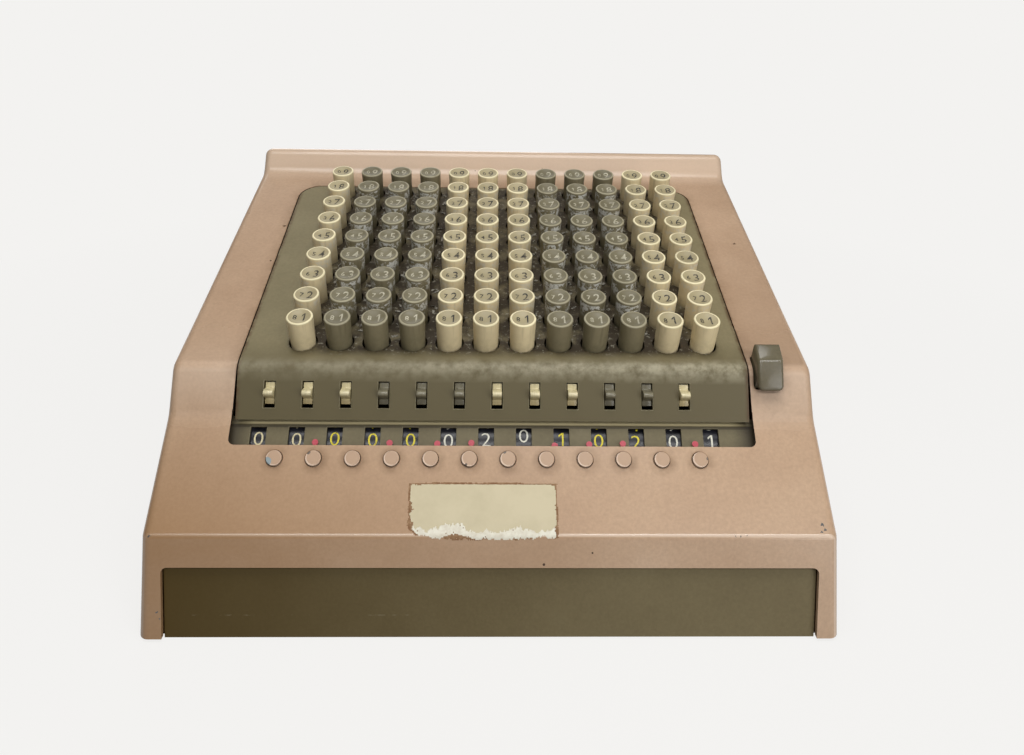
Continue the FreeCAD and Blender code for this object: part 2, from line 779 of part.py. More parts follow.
def clear_key():
    """Key block on an arm that turns on the clear shaft; its front follows the step and ends in a lip."""
    end, front_top, back_top, slot_end = clear_key_corners()
    back, floor = back_top[0], -key_stand - clear_key_drop
    tilt = step_slope - deck_slope
    web = slot_end[0] + clear_lip_gap
    under_end = along(end, tilt - 90, clear_key_lip)
    under_web = meet(under_end, tilt, (web, floor), 90)
    outline = [under_end, end, front_top, back_top, (back, floor), (web, floor), under_web]
    half = clear_key_width / 2
    face = rounded_face(outline, [0] + [clear_key_round] * 3 + [0] * 3, lambda v, n: Vector(-half, v, n))
    block = face.extrude(Vector(clear_key_width, 0, 0))
    block = block.makeFillet(clear_key_edge, outer_rims(block, under_web, floor))
    arm_top = min(floor + clear_arm_height, -key_stand - casing_wall - clear_slot_gap)
    arm = box(-clear_arm_width / 2, clear_arm_width / 2, back - clear_arm_height, clear_axis_v,
              clear_axis_n - clear_arm_height / 2, arm_top)
    axis = (clear_axis_v, clear_axis_n)
    hub = rod(-clear_hub_length / 2, clear_hub_length / 2, axis, clear_hub_radius)
    bore = rod(-clear_hub_length, clear_hub_length, axis, shaft_radius + running_gap)
    return placed(block.fuse([arm, hub]).cut(bore).removeSplitter(), seat(clear_key_x, row_one, deck_slope))


def clear_key_spring():
    """Sleeve in place of the coil spring beside the clear key's hub."""
    left = frame_outer
    outer = rod(left, left + clear_spring_length, clear_axis, clear_spring_radius)
    return outer.cut(rod(left, left + clear_spring_length, clear_axis, shaft_radius + shaft_seat))


def screw(x, y, z, up):
    """Round-headed screw: its head's seat at z, its shank running up or down."""
    way = Vector(0, 0, 1 if up else -1)
    shank = Part.makeCylinder(screw_radius, screw_bite if up else frame_thickness + base_thickness, Vector(x, y, z), way)
    head = Part.makeCylinder(screw_head_radius, screw_head_height, Vector(x, y, z), way * -1)
    return shank.fuse(head).removeSplitter()


def fasteners():
    """Screws of the casing, from below, and of the frames, from above."""
    made = [screw(x, y, base_bottom, True) for x, y in boss_places()]
    made += [screw(x, y, base_top + frame_thickness, False) for x, y, _ in tab_places()]
    return Part.makeCompound(made)


def numeral_wheel(index):
    """Numeral drum with a ten-pointed star beside it, on the wheel shaft."""
    left = column_x(wheel_lead, index) - wheel_width / 2
    right = left + wheel_width
    bore = rod(left - 1, right + star_width + 1, wheel_axis, shaft_radius + running_gap)
    drum = rod(left, right, wheel_axis, wheel_radius)
    pocket = rod(left, left + wheel_pocket, wheel_axis, wheel_radius - wheel_rim)
    pocket = pocket.cut(rod(left, left + wheel_pocket, wheel_axis, wheel_hub_radius))
    star = rod(right, right + star_width, wheel_axis, star_radius)
    notches = [rod(right, right + star_width, along(wheel_axis, 36 * i, star_radius), star_notch_radius) for i in range(10)]
    return Part.makeCompound([drum.cut([pocket, bore]), star.cut(notches + [bore])])


def cutoff_lever(index):
    """Lever with a ridged tab in its panel slot, turning on the lever rod."""
    half = lever_tab_width / 2
    top = lever_slot_length / 2 - lever_top_gap
    tab = box(-half, half, top - lever_tab_length, top, -lever_tab_thickness, 0)
    middle = top - lever_tab_length / 2
    ridge = rounded_slab(-half, half, middle - lever_ridge_length / 2, middle + lever_ridge_length / 2,
                         -lever_tab_thickness, lever_ridge_rise, [0] * 4)
    crown = [edge for edge in ridge.Edges
             if all(abs(v.Z - lever_ridge_rise) < 1e-6 for v in edge.Vertexes)
             and abs(edge.Vertexes[0].X - edge.Vertexes[1].X) > half]
    ridge = ridge.makeFillet(lever_ridge_length * 0.4, crown)
    arm_half = lever_arm_width / 2
    arm = box(-half, half, -arm_half, arm_half, -lever_rod_depth, -lever_tab_thickness)
    axis = (0, -lever_rod_depth)
    hub = rod(-half, half, axis, lever_hub_radius)
    bore = rod(-2 * half, 2 * half, axis, shaft_radius + running_gap)
    lever = tab.fuse([ridge, arm, hub]).cut(bore).removeSplitter()
    return placed(lever, seat(column_x(lever_lead, index), slot_centre, step_slope))


def decimal_marker(index):
    """Knob, spindle and arm in one piece, with a dot on the arm's end."""
    knob = Part.makeCylinder(marker_knob_radius, casing_wall + marker_knob_rise, Vector(0, 0, -casing_wall))
    rim = [edge for edge in knob.Edges if all(abs(v.Z - marker_knob_rise) < 1e-6 for v in edge.Vertexes)
           and len(edge.Vertexes) == 1]
    knob = knob.makeFillet(marker_knob_edge, rim)
    foot = marker_depth + 2 * plate_thickness
    spindle = Part.makeCylinder(marker_spindle_radius, foot - casing_wall, Vector(0, 0, -foot))
    low = -marker_arm_depth - marker_arm_thickness / 2
    half = marker_arm_width / 2
    arm = box(-half, half, 0, marker_arm_length, low, low + marker_arm_thickness)
    hub = Part.makeCylinder(marker_arm_width, 2 * marker_arm_thickness, Vector(0, 0, low - marker_arm_thickness / 2))
    dot = Part.makeCylinder(marker_dot_radius, marker_dot_thickness,
                            Vector(0, marker_arm_length, low + marker_arm_thickness))
    turn = Placement(Vector(0, 0, 0), Rotation(Vector(0, 0, 1), -marker_turns[index]))
    spot = seat(column_x(marker_lead, index), marker_seat, apron_slope).multiply(turn)
    body = knob.fuse([spindle, arm, hub]).removeSplitter()
    return Part.makeCompound([placed(body, spot), placed(dot, spot)])


def sub_parts():
    """Every node's name with its shape."""
    made = {
        "top_casing": top_casing(),
        "keyboard_panel": keyboard_panel(),
        "front_panel": front_panel(),
        "register_plate": register_plate(),
        "base_plate": base_plate(),
        "rubber_feet": rubber_feet(),
        "side_frames": side_frames(),
        "cross_shafts": cross_shafts(),
        "key_guide_plate": key_guide_plate(),
        "key_return_springs": key_return_springs(),
        "column_levers": column_levers(),
        "clear_key": clear_key(),
        "clear_key_spring": clear_key_spring(),
        "fasteners": fasteners(),
    }
    for row in range(1, key_rows + 1):
        made[f"key_row_{row}"] = key_row(row)
    for i in range(wheel_count):
        made[f"numeral_wheel_{i + 1}"] = numeral_wheel(i)
    for i in range(lever_count):
        made[f"cutoff_lever_{i + 1}"] = cutoff_lever(i)
        made[f"decimal_marker_{i + 1}"] = decimal_marker(i)
    return made


def main():
    """Builds every sub-part and writes each one to its own file."""
    os.makedirs("parts", exist_ok=True)
    for name, shape in sub_parts().items():
        shape.exportStep(f"parts/{name}.step")


if __name__ == "__main__":
    main()
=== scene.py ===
import logging
import math
import random
from dataclasses import dataclass
from enum import Enum
from typing import Any, Callable, Sequence

import bmesh
import bpy
from bpy.types import Material, Node, NodeSocket, NodeTree, Object
from mathutils import Matrix, Vector


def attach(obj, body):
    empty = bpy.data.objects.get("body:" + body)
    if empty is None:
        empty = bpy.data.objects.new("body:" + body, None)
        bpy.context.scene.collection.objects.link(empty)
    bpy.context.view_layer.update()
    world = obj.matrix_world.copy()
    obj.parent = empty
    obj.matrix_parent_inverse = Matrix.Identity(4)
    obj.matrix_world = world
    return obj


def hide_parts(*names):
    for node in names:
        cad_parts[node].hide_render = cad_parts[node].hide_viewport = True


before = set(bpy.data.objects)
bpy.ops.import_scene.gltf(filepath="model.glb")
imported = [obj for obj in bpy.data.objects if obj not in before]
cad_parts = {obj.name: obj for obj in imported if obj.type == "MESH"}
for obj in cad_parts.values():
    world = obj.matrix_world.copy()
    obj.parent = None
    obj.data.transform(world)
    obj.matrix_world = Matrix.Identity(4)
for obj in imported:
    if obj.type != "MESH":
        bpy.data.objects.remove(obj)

LOG = logging.getLogger("adding_machine")
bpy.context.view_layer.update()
MM = 0.001
ROOT = "machine"


def linear(hex_colour: str) -> tuple[float, float, float, float]:
    """Turns an sRGB hex colour into linear light.

    Args:
        hex_colour: Six hex digits after a hash.

    Returns:
        Red, green, blue and full alpha.
    """
    parts = [int(hex_colour[i : i + 2], 16) / 255 for i in (1, 3, 5)]
    red, green, blue = [p / 12.92 if p <= 0.04045 else ((p + 0.055) / 1.055) ** 2.4 for p in parts]
    return red, green, blue, 1.0


def per_mm(size: float) -> float:
    """Texture scale whose features are about a size in millimetres."""
    return 1 / (size * MM)


def moved(x: float = 0.0, y: float = 0.0, z: float = 0.0) -> Matrix:
    """Move by so many millimetres."""
    return Matrix.Translation(Vector((x, y, z)) * MM)


def slope(x: float, y: float, z: float, angle: float) -> Matrix:
    """Frame at a place in millimetres on a slope in degrees: X across, Y up the slope and Z off its face."""
    return moved(x, y, z) @ Matrix.Rotation(math.radians(angle), 4, "X")


@dataclass(frozen=True)
class Layout:
    """Places that the sub-assemblies share, in millimetres, as the solids have them."""

    pitch: float = 19.05
    columns: int = 12
    rows: int = 9
    first_column: float = -99.975
    row_one_y: float = -61.2
    row_one_z: float = 130.0
    deck_slope: float = 14.0
    key_stand: float = 17.0
    panel_half: float = 129.5
    panel_back: float = 161.1
    crease_y: float = -131.67
    crease_z: float = 49.0
    apron_slope: float = 40.6
    marker_y: float = -103.63
    marker_z: float = 73.03
    first_marker: float = -107.525
    step_slope: float = 60.5
    slot_y: float = -81.83
    slot_z: float = 96.29
    first_lever: float = -113.025
    plate_slope: float = 43.0
    window_y: float = -90.95
    window_z: float = 76.71
    first_wheel: float = -118.375
    wheel_y: float = -79.49
    wheel_z: float = 64.42
    wheel_radius: float = 15.0

    def key(self, row: int, n: float) -> Matrix:
        """Frame over the leftmost key of a row, numbered from 0, so many millimetres above its top."""
        base = slope(self.first_column, self.row_one_y, self.row_one_z, self.deck_slope)
        return base @ moved(0, row * self.pitch, n)

    def slot(self, i: int) -> Matrix:
        """Frame on the middle of a lever's slot, numbered from 0."""
        return slope(self.first_lever + i * self.pitch, self.slot_y, self.slot_z, self.step_slope)

    def window(self, i: int) -> Matrix:
        """Frame on the middle of a numeral window, numbered from 0."""
        return slope(self.first_wheel + i * self.pitch, self.window_y, self.window_z, self.plate_slope)


PLAN = Layout()


class Tone(Enum):
    """The two plastics that keys and levers are moulded in."""

    CREAM = "cream"
    DARK = "dark"


class Picked(Enum):
    """What is selected in edit mode."""

    FACES = "FACE"
    EDGES = "EDGE"


def deselect() -> None:
    """Leaves edit mode and deselects every object."""
    if bpy.context.object and bpy.context.object.mode != "OBJECT":
        bpy.ops.object.mode_set(mode="OBJECT")
    bpy.ops.object.select_all(action="DESELECT")


def activate(piece: Object) -> None:
    """Makes a piece the one selected and active object.

    Args:
        piece: The piece.
    """
    deselect()
    piece.select_set(True)
    bpy.context.view_layer.objects.active = piece


def edit(piece: Object) -> None:
    """Enters a piece's edit mode with all of it selected.

    Args:
        piece: The piece.
    """
    activate(piece)
    bpy.ops.object.mode_set(mode="EDIT")
    bpy.ops.mesh.select_all(action="SELECT")


def cut(place: Sequence[float], normal: Sequence[float], **settings: Any) -> None:
    """Cuts all of the edited mesh along a plane through a place, with a normal."""
    bpy.ops.mesh.select_all(action="SELECT")
    bpy.ops.mesh.bisect(plane_co=place, plane_no=normal, **settings)


def pick(piece: Object, kind: Picked, test: Callable[[Vector, Vector], bool]) -> None:
    """Enters edit mode with only some faces or edges selected.

    Args:
        piece: Piece to edit.
        kind: Whether faces or edges are picked.
        test: Says from a face's centre and normal, or an edge's middle and direction, whether it is wanted.
    """
    edit(piece)
    bpy.ops.mesh.select_mode(type=kind.value)
    bpy.ops.mesh.select_all(action="DESELECT")
    mesh = bmesh.from_edit_mesh(piece.data)
    if kind is Picked.FACES:
        for face in mesh.faces:
            face.select_set(test(face.calc_center_median(), face.normal))
    else:
        for edge in mesh.edges:
            low, high = edge.verts[0].co, edge.verts[1].co
            edge.select_set(test((low + high) / 2, (high - low).normalized()))
    bmesh.update_edit_mesh(piece.data)


def settle(piece: Object) -> Object:
    """Moves a piece's place into its mesh.

    Args:
        piece: The piece.

    Returns:
        The same piece.
    """
    activate(piece)
    bpy.ops.object.transform_apply(location=True, rotation=True, scale=True)
    return piece


def apply_modifier(piece: Object, kind: str, **settings: Any) -> None:
    """Adds a modifier and applies it.

    Args:
        piece: Piece that is changed.
        kind: Modifier type.
        settings: Attributes of the modifier.
    """
    activate(piece)
    modifier = piece.modifiers.new(kind.title(), kind)
    for name, value in settings.items():
        setattr(modifier, name, value)
    bpy.ops.object.modifier_apply(modifier=modifier.name)


def copied(piece: Object, move: Matrix) -> Object:
    """Copy of a piece with its own mesh.

    Args:
        piece: Piece that sits at the origin.
        move: Where the copy's mesh goes.

    Returns:
        The copy.
    """
    twin = piece.copy()
    twin.data = piece.data.copy()
    twin.data.transform(move)
    bpy.context.collection.objects.link(twin)
    return twin


def joined(pieces: Sequence[Object], name: str) -> Object:
    """Joins pieces into one.

    Args:
        pieces: Pieces to join.
        name: Name of the whole.

    Returns:
        The joined piece.
    """
    deselect()
    for piece in pieces:
        piece.select_set(True)
    bpy.context.view_layer.objects.active = pieces[0]
    if len(pieces) > 1:
        bpy.ops.object.join()
    whole = bpy.context.view_layer.objects.active
    whole.name = name
    return whole


def repeated(piece: Object, moves: Sequence[Matrix], name: str) -> Object:
    """Copies a piece to several places as one whole, and removes the piece.

    Args:
        piece: Piece that sits at the origin.
        moves: Where the copies go.
        name: Name of the whole.

    Returns:
        The whole.
    """
    copies = [copied(piece, move) for move in moves]
    bpy.data.objects.remove(piece)
    return joined(copies, name)


def smooth(piece: Object, angle: float = 35.0) -> None:
    """Shades a piece smooth, apart from edges sharper than an angle in degrees."""
    activate(piece)
    bpy.ops.object.shade_smooth_by_angle(angle=math.radians(angle))


def dress(piece: Object, material: Material) -> None:
    """Gives a piece one material."""
    piece.data.materials.clear()
    piece.data.materials.append(material)


def add_flag(piece: Object, size: float) -> None:
    """Draws a flag out of the bare stroke that the face has for a one.

    Args:
        piece: The stroke.
        size: The face's size in metres.
    """
    foot = 0.57 * size
    edit(piece)
    cut((0, foot, 0), (0, 1, 0))
    pick(piece, Picked.EDGES, lambda mid, way: mid.x < 0.24 * size and mid.y > foot and abs(way.y) > 0.9)
    bpy.ops.mesh.extrude_edges_move(TRANSFORM_OT_translate={"value": (-0.14 * size, -0.12 * size, 0)})
    bpy.ops.object.mode_set(mode="OBJECT")


def figure(text: str, height: float, narrow: float, weight: float, cell: float) -> Object:
    """Flat printed figure, cut into cells so that it can lie on a curve.

    Args:
        text: The figure.
        height: Its height in millimetres.
        narrow: Width as a share of the face's own.
        weight: Stroke growth in millimetres.
        cell: Size of a cell in millimetres.

    Returns:
        The figure, centred on the origin in its own XY plane.
    """
    deselect()
    bpy.ops.object.text_add()
    piece = bpy.context.object
    piece.data.body = text
    piece.data.resolution_u = 3
    piece.data.size = height * MM / 0.73
    piece.data.offset = weight * MM
    size = piece.data.size
    bpy.ops.object.convert(target="MESH")
    if text == "1":
        add_flag(piece, size)
    low, high = [Vector([end(v.co[i] for v in piece.data.vertices) for i in range(3)]) for end in (min, max)]
    piece.data.transform(Matrix.Translation(-(low + high) / 2))
    piece.data.transform(Matrix.Diagonal((narrow, 1, 1, 1)))
    half = (high - low) * 0.5
    edit(piece)
    for axis, reach in ((Vector((1, 0, 0)), half.x * narrow), (Vector((0, 1, 0)), half.y)):
        steps = int(reach / (cell * MM))
        for step in range(-steps, steps + 1):
            cut(axis * (step * cell * MM), axis)
    bpy.ops.object.mode_set(mode="OBJECT")
    return piece


def laid_on(piece: Object, target: Object, gap: float) -> None:
    """Presses a flat, placed piece along its own Z onto a surface and settles it.

    Args:
        piece: The piece.
        target: The solid that has the surface.
        gap: Height over the surface, in millimetres.
    """
    apply_modifier(piece, "SHRINKWRAP", target=target, wrap_method="PROJECT", use_project_z=True,
                   use_negative_direction=True, use_positive_direction=True, offset=gap * MM)
    settle(piece)


@dataclass(frozen=True)
class Ramp:
    """A straight run: where a value starts and ends, and what comes out at its end and before its start."""

    start: float
    end: float
    top: float = 1.0
    bottom: float = 0.0


class Net:
    """A node tree that is filled node by node, and the object's coordinates in it, in metres."""

    def __init__(self, tree: NodeTree) -> None:
        """Empties a tree and adds its coordinates.

        Args:
            tree: The material's or the world's tree.
        """
        tree.nodes.clear()
        self.tree = tree
        self.place = self.add("TexCoord").outputs["Object"]

    def add(self, kind: str, inputs: dict[Any, Any] | None = None, **settings: Any) -> Node:
        """Adds a shader node with its settings and links.

        Args:
            kind: Node type without its ShaderNode start.
            inputs: Socket name or number to a value, a socket or a node, whose first output is then linked.
            settings: Attributes of the node.

        Returns:
            The new node.
        """
        node = self.tree.nodes.new("ShaderNode" + kind)
        for name, value in settings.items():
            setattr(node, name, value)
        for key, value in (inputs or {}).items():
            named = [s for s in node.inputs if s.enabled and s.name == key]
            target = named[0] if isinstance(key, str) else node.inputs[key]
            if isinstance(value, Node):
                value = [s for s in value.outputs if s.enabled][0]
            if isinstance(value, NodeSocket):
                self.tree.links.new(value, target)
            else:
                target.default_value = value
        return node

    def strength(self, *factors: Any) -> Node:
        """Strength of a coat: the product of its factors.

        Args:
            factors: Nodes or sockets, each by itself or paired with the ramp that it runs through.

        Returns:
            Node whose first output is the strength.
        """
        whole = None
        for factor in factors:
            if isinstance(factor, tuple):
                value, ramp = factor
                factor = self.add("MapRange", {"Value": value, "From Min": ramp.start, "From Max": ramp.end,
                                               "To Min": ramp.bottom, "To Max": ramp.top})
            whole = factor if whole is None else self.add("Math", {0: whole, 1: factor}, operation="MULTIPLY")
        return whole

    def coats(self, base: Any, *layers: tuple[Any, str]) -> Any:
        """Lays coats of colour over a base, one after another.

        Args:
            base: Lowest colour: a hex colour or a node.
            layers: Strength and hex colour of each coat.

        Returns:
            The node of the uppermost coat.
        """
        colour = linear(base) if isinstance(base, str) else base
        for strength, coat in layers:
            colour = self.add("Mix", {"Factor": strength, "A": colour, "B": linear(coat)}, data_type="RGBA")
        return colour

    def patches(self, size: float, ramp: Ramp, place: Node | None = None) -> Node:
        """Uneven patches, as dirt and wear lie.

        Args:
            size: Size of a patch in millimetres.
            ramp: Noise levels where a patch starts and is full, and its values.
            place: Coordinates in metres, if not the object's own.

        Returns:
            Node whose first output is the value.
        """
        inputs = {"Vector": self.place if place is None else place, "Scale": per_mm(size)}
        noise = self.add("TexNoise", inputs | {"Detail": 5.0, "Roughness": 0.62})
        return self.strength((noise, ramp))

    def on_slope(self, at: tuple[float, float, float], angle: float, unit: float = 1.0) -> Node:
        """Coordinates across, up and off a slope.

        Args:
            at: Where the slope's frame starts, in millimetres.
            angle: Slope in degrees.
            unit: Millimetres that count as one.

        Returns:
            Node whose first output is the coordinates.
        """
        inputs = {"Vector": self.place, "Location": tuple(Vector(at) * MM),
                  "Rotation": (math.radians(angle), 0, 0), "Scale": (unit * MM,) * 3}
        return self.add("Mapping", inputs, vector_type="TEXTURE")

    def beside_box(self, flat: Node, centre: tuple[float, float], half: tuple[float, float],
                   corner: float) -> Node:
        """Distance outside a rectangle with round corners.

        Args:
            flat: Coordinates on the rectangle's plane, in millimetres.
            centre: Its middle.
            half: Half of its width and length.
            corner: Radius of its corners.

        Returns:
            Node whose first output is the distance, in millimetres.
        """
        inner = (half[0] - corner, half[1] - corner, 0)
        shifted = self.add("VectorMath", {0: flat, 1: (*centre, 0)}, operation="SUBTRACT")
        level = self.add("VectorMath", {0: shifted, 1: (1, 1, 0)}, operation="MULTIPLY")
        mirrored = self.add("VectorMath", {0: level}, operation="ABSOLUTE")
        past = self.add("VectorMath", {0: mirrored, 1: inner}, operation="SUBTRACT")
        outside = self.add("VectorMath", {0: past, 1: (0, 0, 0)}, operation="MAXIMUM")
        far = self.add("VectorMath", {0: outside}, operation="LENGTH")
        return self.add("Math", {0: far, 1: corner}, operation="SUBTRACT")

    def ragged(self, place: Any, scale: float, reach: float) -> Node:
        """Coordinates pushed about, so that what is drawn with them has ragged edges.

        Args:
            place: Coordinates.
            scale: Noise scale.
            reach: How far a point is pushed at most, about, in the coordinates' unit.

        Returns:
            Node whose first output is the coordinates.
        """
        rag = self.add("TexNoise", {"Vector": place, "Scale": scale, "Detail": 3.0}).outputs["Color"]
        rag = self.add("VectorMath", {0: rag, 1: (0.5, 0.5, 0.5)}, operation="SUBTRACT")
        rag = self.add("VectorMath", {0: rag, "Scale": 2 * reach}, operation="SCALE")
        return self.add("VectorMath", {0: place, 1: rag}, operation="ADD")


@dataclass(frozen=True)
class Finish:
    """A finish: a name and what its Principled shader starts from."""

    name: str
    colour: str
    roughness: float = 0.5
    metallic: float = 0.0
    gloss: float = 0.5

    def make(self) -> Material:
        """Builds the material.

        Returns:
            The material.
        """
        material = bpy.data.materials.new(self.name)
        material.use_nodes = True
        net = Net(material.node_tree)
        net.add("OutputMaterial", {"Surface": self.surface(net)})
        return material

    def surface(self, net: Net) -> Node:
        """Adds the surface's shader.

        Args:
            net: Node tree to fill.

        Returns:
            The shader.
        """
        start = {"Base Color": linear(self.colour), "Roughness": self.roughness, "Metallic": self.metallic,
                 "Specular IOR Level": self.gloss}
        return net.add("BsdfPrincipled", start | self.pattern(net))

    def pattern(self, net: Net) -> dict[str, Any]:
        """Shader inputs that the finish's own pattern drives; the plain finish has none."""
        return {}


@dataclass(frozen=True)
class Enamel(Finish):
    """Stove enamel on sheet metal: orange peel, blotches of age and dark specks; sizes in millimetres."""

    shade: str = "#A88C75"
    bloom: str = "#C6AC95"
    speck: str = "#4A382A"
    blotch: float = 45.0
    peel: float = 1.6
    pore: float = 1.6
    speck_spacing: float = 12.0
    shaded: Ramp = Ramp(0.45, 0.75, 0.6)
    bloomed: Ramp = Ramp(0.45, 0.25, 0.5)
    pored: Ramp = Ramp(0.3, 0.7, 1.07, 0.92)
    speck_size: Ramp = Ramp(0.62, 1.0, 0.055)

    def pattern(self, net: Net) -> dict[str, Any]:
        """Blotches, wear and specks in the colour, uneven gloss and the peel.

        Args:
            net: Node tree to fill.

        Returns:
            Shader inputs.
        """
        colour = net.coats(self.colour, (net.patches(self.blotch, self.shaded), self.shade),
                           (net.patches(self.blotch, self.bloomed), self.bloom))
        # Dust and pores, drawn at twice their real size so that they show.
        pores = net.patches(self.pore, self.pored)
        colour = net.add("Mix", {"Factor": 1.0, "A": colour, "B": pores}, data_type="RGBA",
                         blend_type="MULTIPLY")
        colour = self.wear(net, colour)
        cells = net.add("TexVoronoi", {"Vector": net.place, "Scale": per_mm(self.speck_spacing)})
        chance = net.add("SeparateColor", {"Color": cells.outputs["Color"]})
        dot = net.add("Math", {0: cells, 1: net.strength((chance, self.speck_size))}, operation="LESS_THAN")
        rough = net.patches(self.blotch, Ramp(0.3, 0.7, self.roughness + 0.07, self.roughness - 0.03))
        peel = net.add("TexNoise", {"Vector": net.place, "Scale": per_mm(self.peel), "Detail": 2.0})
        bump = net.add("Bump", {"Height": peel, "Strength": 0.1, "Distance": 0.0002})
        return {"Base Color": net.coats(colour, (dot, self.speck)), "Roughness": rough, "Normal": bump}

    def wear(self, net: Net, colour: Node) -> Node:
        """Adds the dirt, wear, painted shade and painted highlights of one piece to its colour; plain enamel
        has none.
        """
        return colour


@dataclass(frozen=True)
class CasingEnamel(Enamel):
    """The casing's enamel, with hand dirt and painted shade round its openings and knobs, painted shade and
    highlights elsewhere, and chipped edges.

    The ramps run over places in metres and over the parts of the surface's normal, those of the knobs' dirt
    and painted shadow over shares of the knobs' spacing. The panel and the slot of the clear key are in
    millimetres on the deck.
    A chip is a place and a radius in millimetres.
    """

    # Brown for hand dirt, and for painted shade on the deck, by the gaps and round the knobs.
    dirt: str = "#7A6048"
    # Near black for grime and painted shade on the walls inside the opening.
    grime: str = "#2E2116"
    chip: str = "#5A5A58"
    # Brown for painted shade on the lower left of the front.
    smoke: str = "#8A6438"
    # Pale for painted highlights on the lip, shoulders and crease, with paler paint and scuffs there.
    bleach: str = "#D8C2AC"
    smoke_side: Ramp = Ramp(0.08, -0.165, 0.7)
    smoke_height: Ramp = Ramp(0.1, 0.044)
    # Painted sheen on the lip, partly paler paint.
    lip: Ramp = Ramp(0.106, 0.122, 0.45)
    # Painted light on the front-facing shoulders, partly pale scuffs.
    shoulder_tilt: Ramp = Ramp(-0.6, -0.8)
    shoulder_height: Ramp = Ramp(0.087, 0.104, 0.25)
    # A painted highlight in a band along the crease.
    crease_upper: Ramp = Ramp(-0.67, -0.73)
    crease_lower: Ramp = Ramp(-0.87, -0.81)
    crease_height: Ramp = Ramp(0.061, 0.059)
    crease_side: Ramp = Ramp(-0.16, 0.05, 0.6, 0.12)
    # Painted shade on the deck, darker towards the front and the right.
    hand_level: Ramp = Ramp(0.86, 0.95)
    hand_depth: Ramp = Ramp(0.06, -0.06)
    hand_side: Ramp = Ramp(-0.15, 0.15, 0.38, 0.16)
    dull_low: Ramp = Ramp(0.082, 0.088)
    dull_high: Ramp = Ramp(0.126, 0.109)
    dull_depth: Ramp = Ramp(-0.03, -0.07, 0.25)
    # A painted shadow ring round each knob.
    knob_ring: Ramp = Ramp(0.245, 0.225, 0.85)
    knob_smear: Ramp = Ramp(0.42, 0.2, 0.7)
    smear_at: tuple[float, float, float] = (0.025, -0.04, 0.0)
    panel_front: float = -37.0
    panel_gap: float = 0.6
    panel_corner: float = 14.6
    clear_slot: tuple[tuple[float, float], tuple[float, float], float] = ((139.7, -17.3), (7.4, 8.3), 2.0)
    opening_half: float = 0.1322
    chips: tuple[tuple[float, float, float, float], ...] = (
        (157.8, -127.6, 53.1, 0.9), (158.6, -129.2, 51.4, 0.6), (156.9, -130.0, 50.6, 0.6),
        (115.0, -131.6, 49.6, 0.6), (117.6, -131.8, 49.4, 0.7), (121.0, -131.7, 49.3, 0.5),
        (-161.0, -132.0, 49.5, 0.9), (157.5, -143.8, 8.0, 0.7), (159.5, -143.6, 9.0, 0.8),
        (-158.0, -143.5, 14.0, 0.6), (-156.6, -143.6, 11.0, 0.5), (161.0, 60.0, 142.0, 0.9))

    def pattern(self, net: Net) -> dict[str, Any]:
        """Adds to the enamel the front shoulders, which palms have rubbed dull.

        Args:
            net: Node tree to fill.

        Returns:
            Shader inputs.
        """
        inputs = super().pattern(net)
        _, depth, height = net.add("SeparateXYZ", {"Vector": net.place}).outputs
        dull = net.strength((height, self.dull_low), (height, self.dull_high), (depth, self.dull_depth))
        return inputs | {"Roughness": net.add("Math", {0: dull, 1: inputs["Roughness"]}, operation="ADD")}

    def wear(self, net: Net, colour: Node) -> Node:
        """Adds painted shade at the lower left and on the deck, painted highlights on the lip, shoulders and
        crease with some paler paint and scuffs, dirt and painted shade in the opening, and the chips.

        Args:
            net: Node tree to fill.
            colour: Colour of the clean enamel.

        Returns:
            The worn colour.
        """
        across, depth, height = net.add("SeparateXYZ", {"Vector": net.place}).outputs
        normal = net.add("NewGeometry").outputs["Normal"]
        aside, front, up = net.add("SeparateXYZ", {"Vector": normal}).outputs
        # Painted shade on the lower left of the front.
        smoke = net.strength((across, self.smoke_side), (height, self.smoke_height))
        # Painted sheen on the lip, partly paler paint.
        lip = net.strength((depth, self.lip))
        # Painted light on the front-facing shoulders, partly pale scuffs.
        shoulder_light = net.strength((front, self.shoulder_tilt), (height, self.shoulder_height))
        # A painted highlight in a band along the crease.
        crease_highlight = net.strength((front, self.crease_upper), (front, self.crease_lower),
                              (height, self.crease_height), (across, self.crease_side))
        # Painted shade on the deck, darker towards the front and the right.
        deck_shade = net.strength((depth, self.hand_depth), (across, self.hand_side), (up, self.hand_level))
        colour = net.coats(colour, (smoke, self.smoke), (lip, self.bleach), (shoulder_light, self.bleach),
                           (crease_highlight, self.bleach), (deck_shade, self.dirt))
        colour = self.soiled(net, colour)
        # Grime and painted shade on the steep walls inside the opening.
        side = net.add("Math", {0: aside}, operation="ABSOLUTE")
        steep = net.add("Math", {0: side, 1: 0.6}, operation="GREATER_THAN")
        off = net.add("Math", {0: across}, operation="ABSOLUTE")
        inner = net.add("Math", {0: off, 1: self.opening_half}, operation="LESS_THAN")
        colour = net.coats(colour, (net.strength(inner, steep), self.grime))
        torn = net.ragged(net.place, per_mm(1.2), 0.0012)
        for x, y, z, radius in self.chips:
            far = net.add("VectorMath", {0: torn, 1: tuple(Vector((x, y, z)) * MM)}, operation="DISTANCE")
            bare = net.add("Math", {0: far, 1: radius * MM}, operation="LESS_THAN")
            colour = net.coats(colour, (bare, self.chip))
        return colour

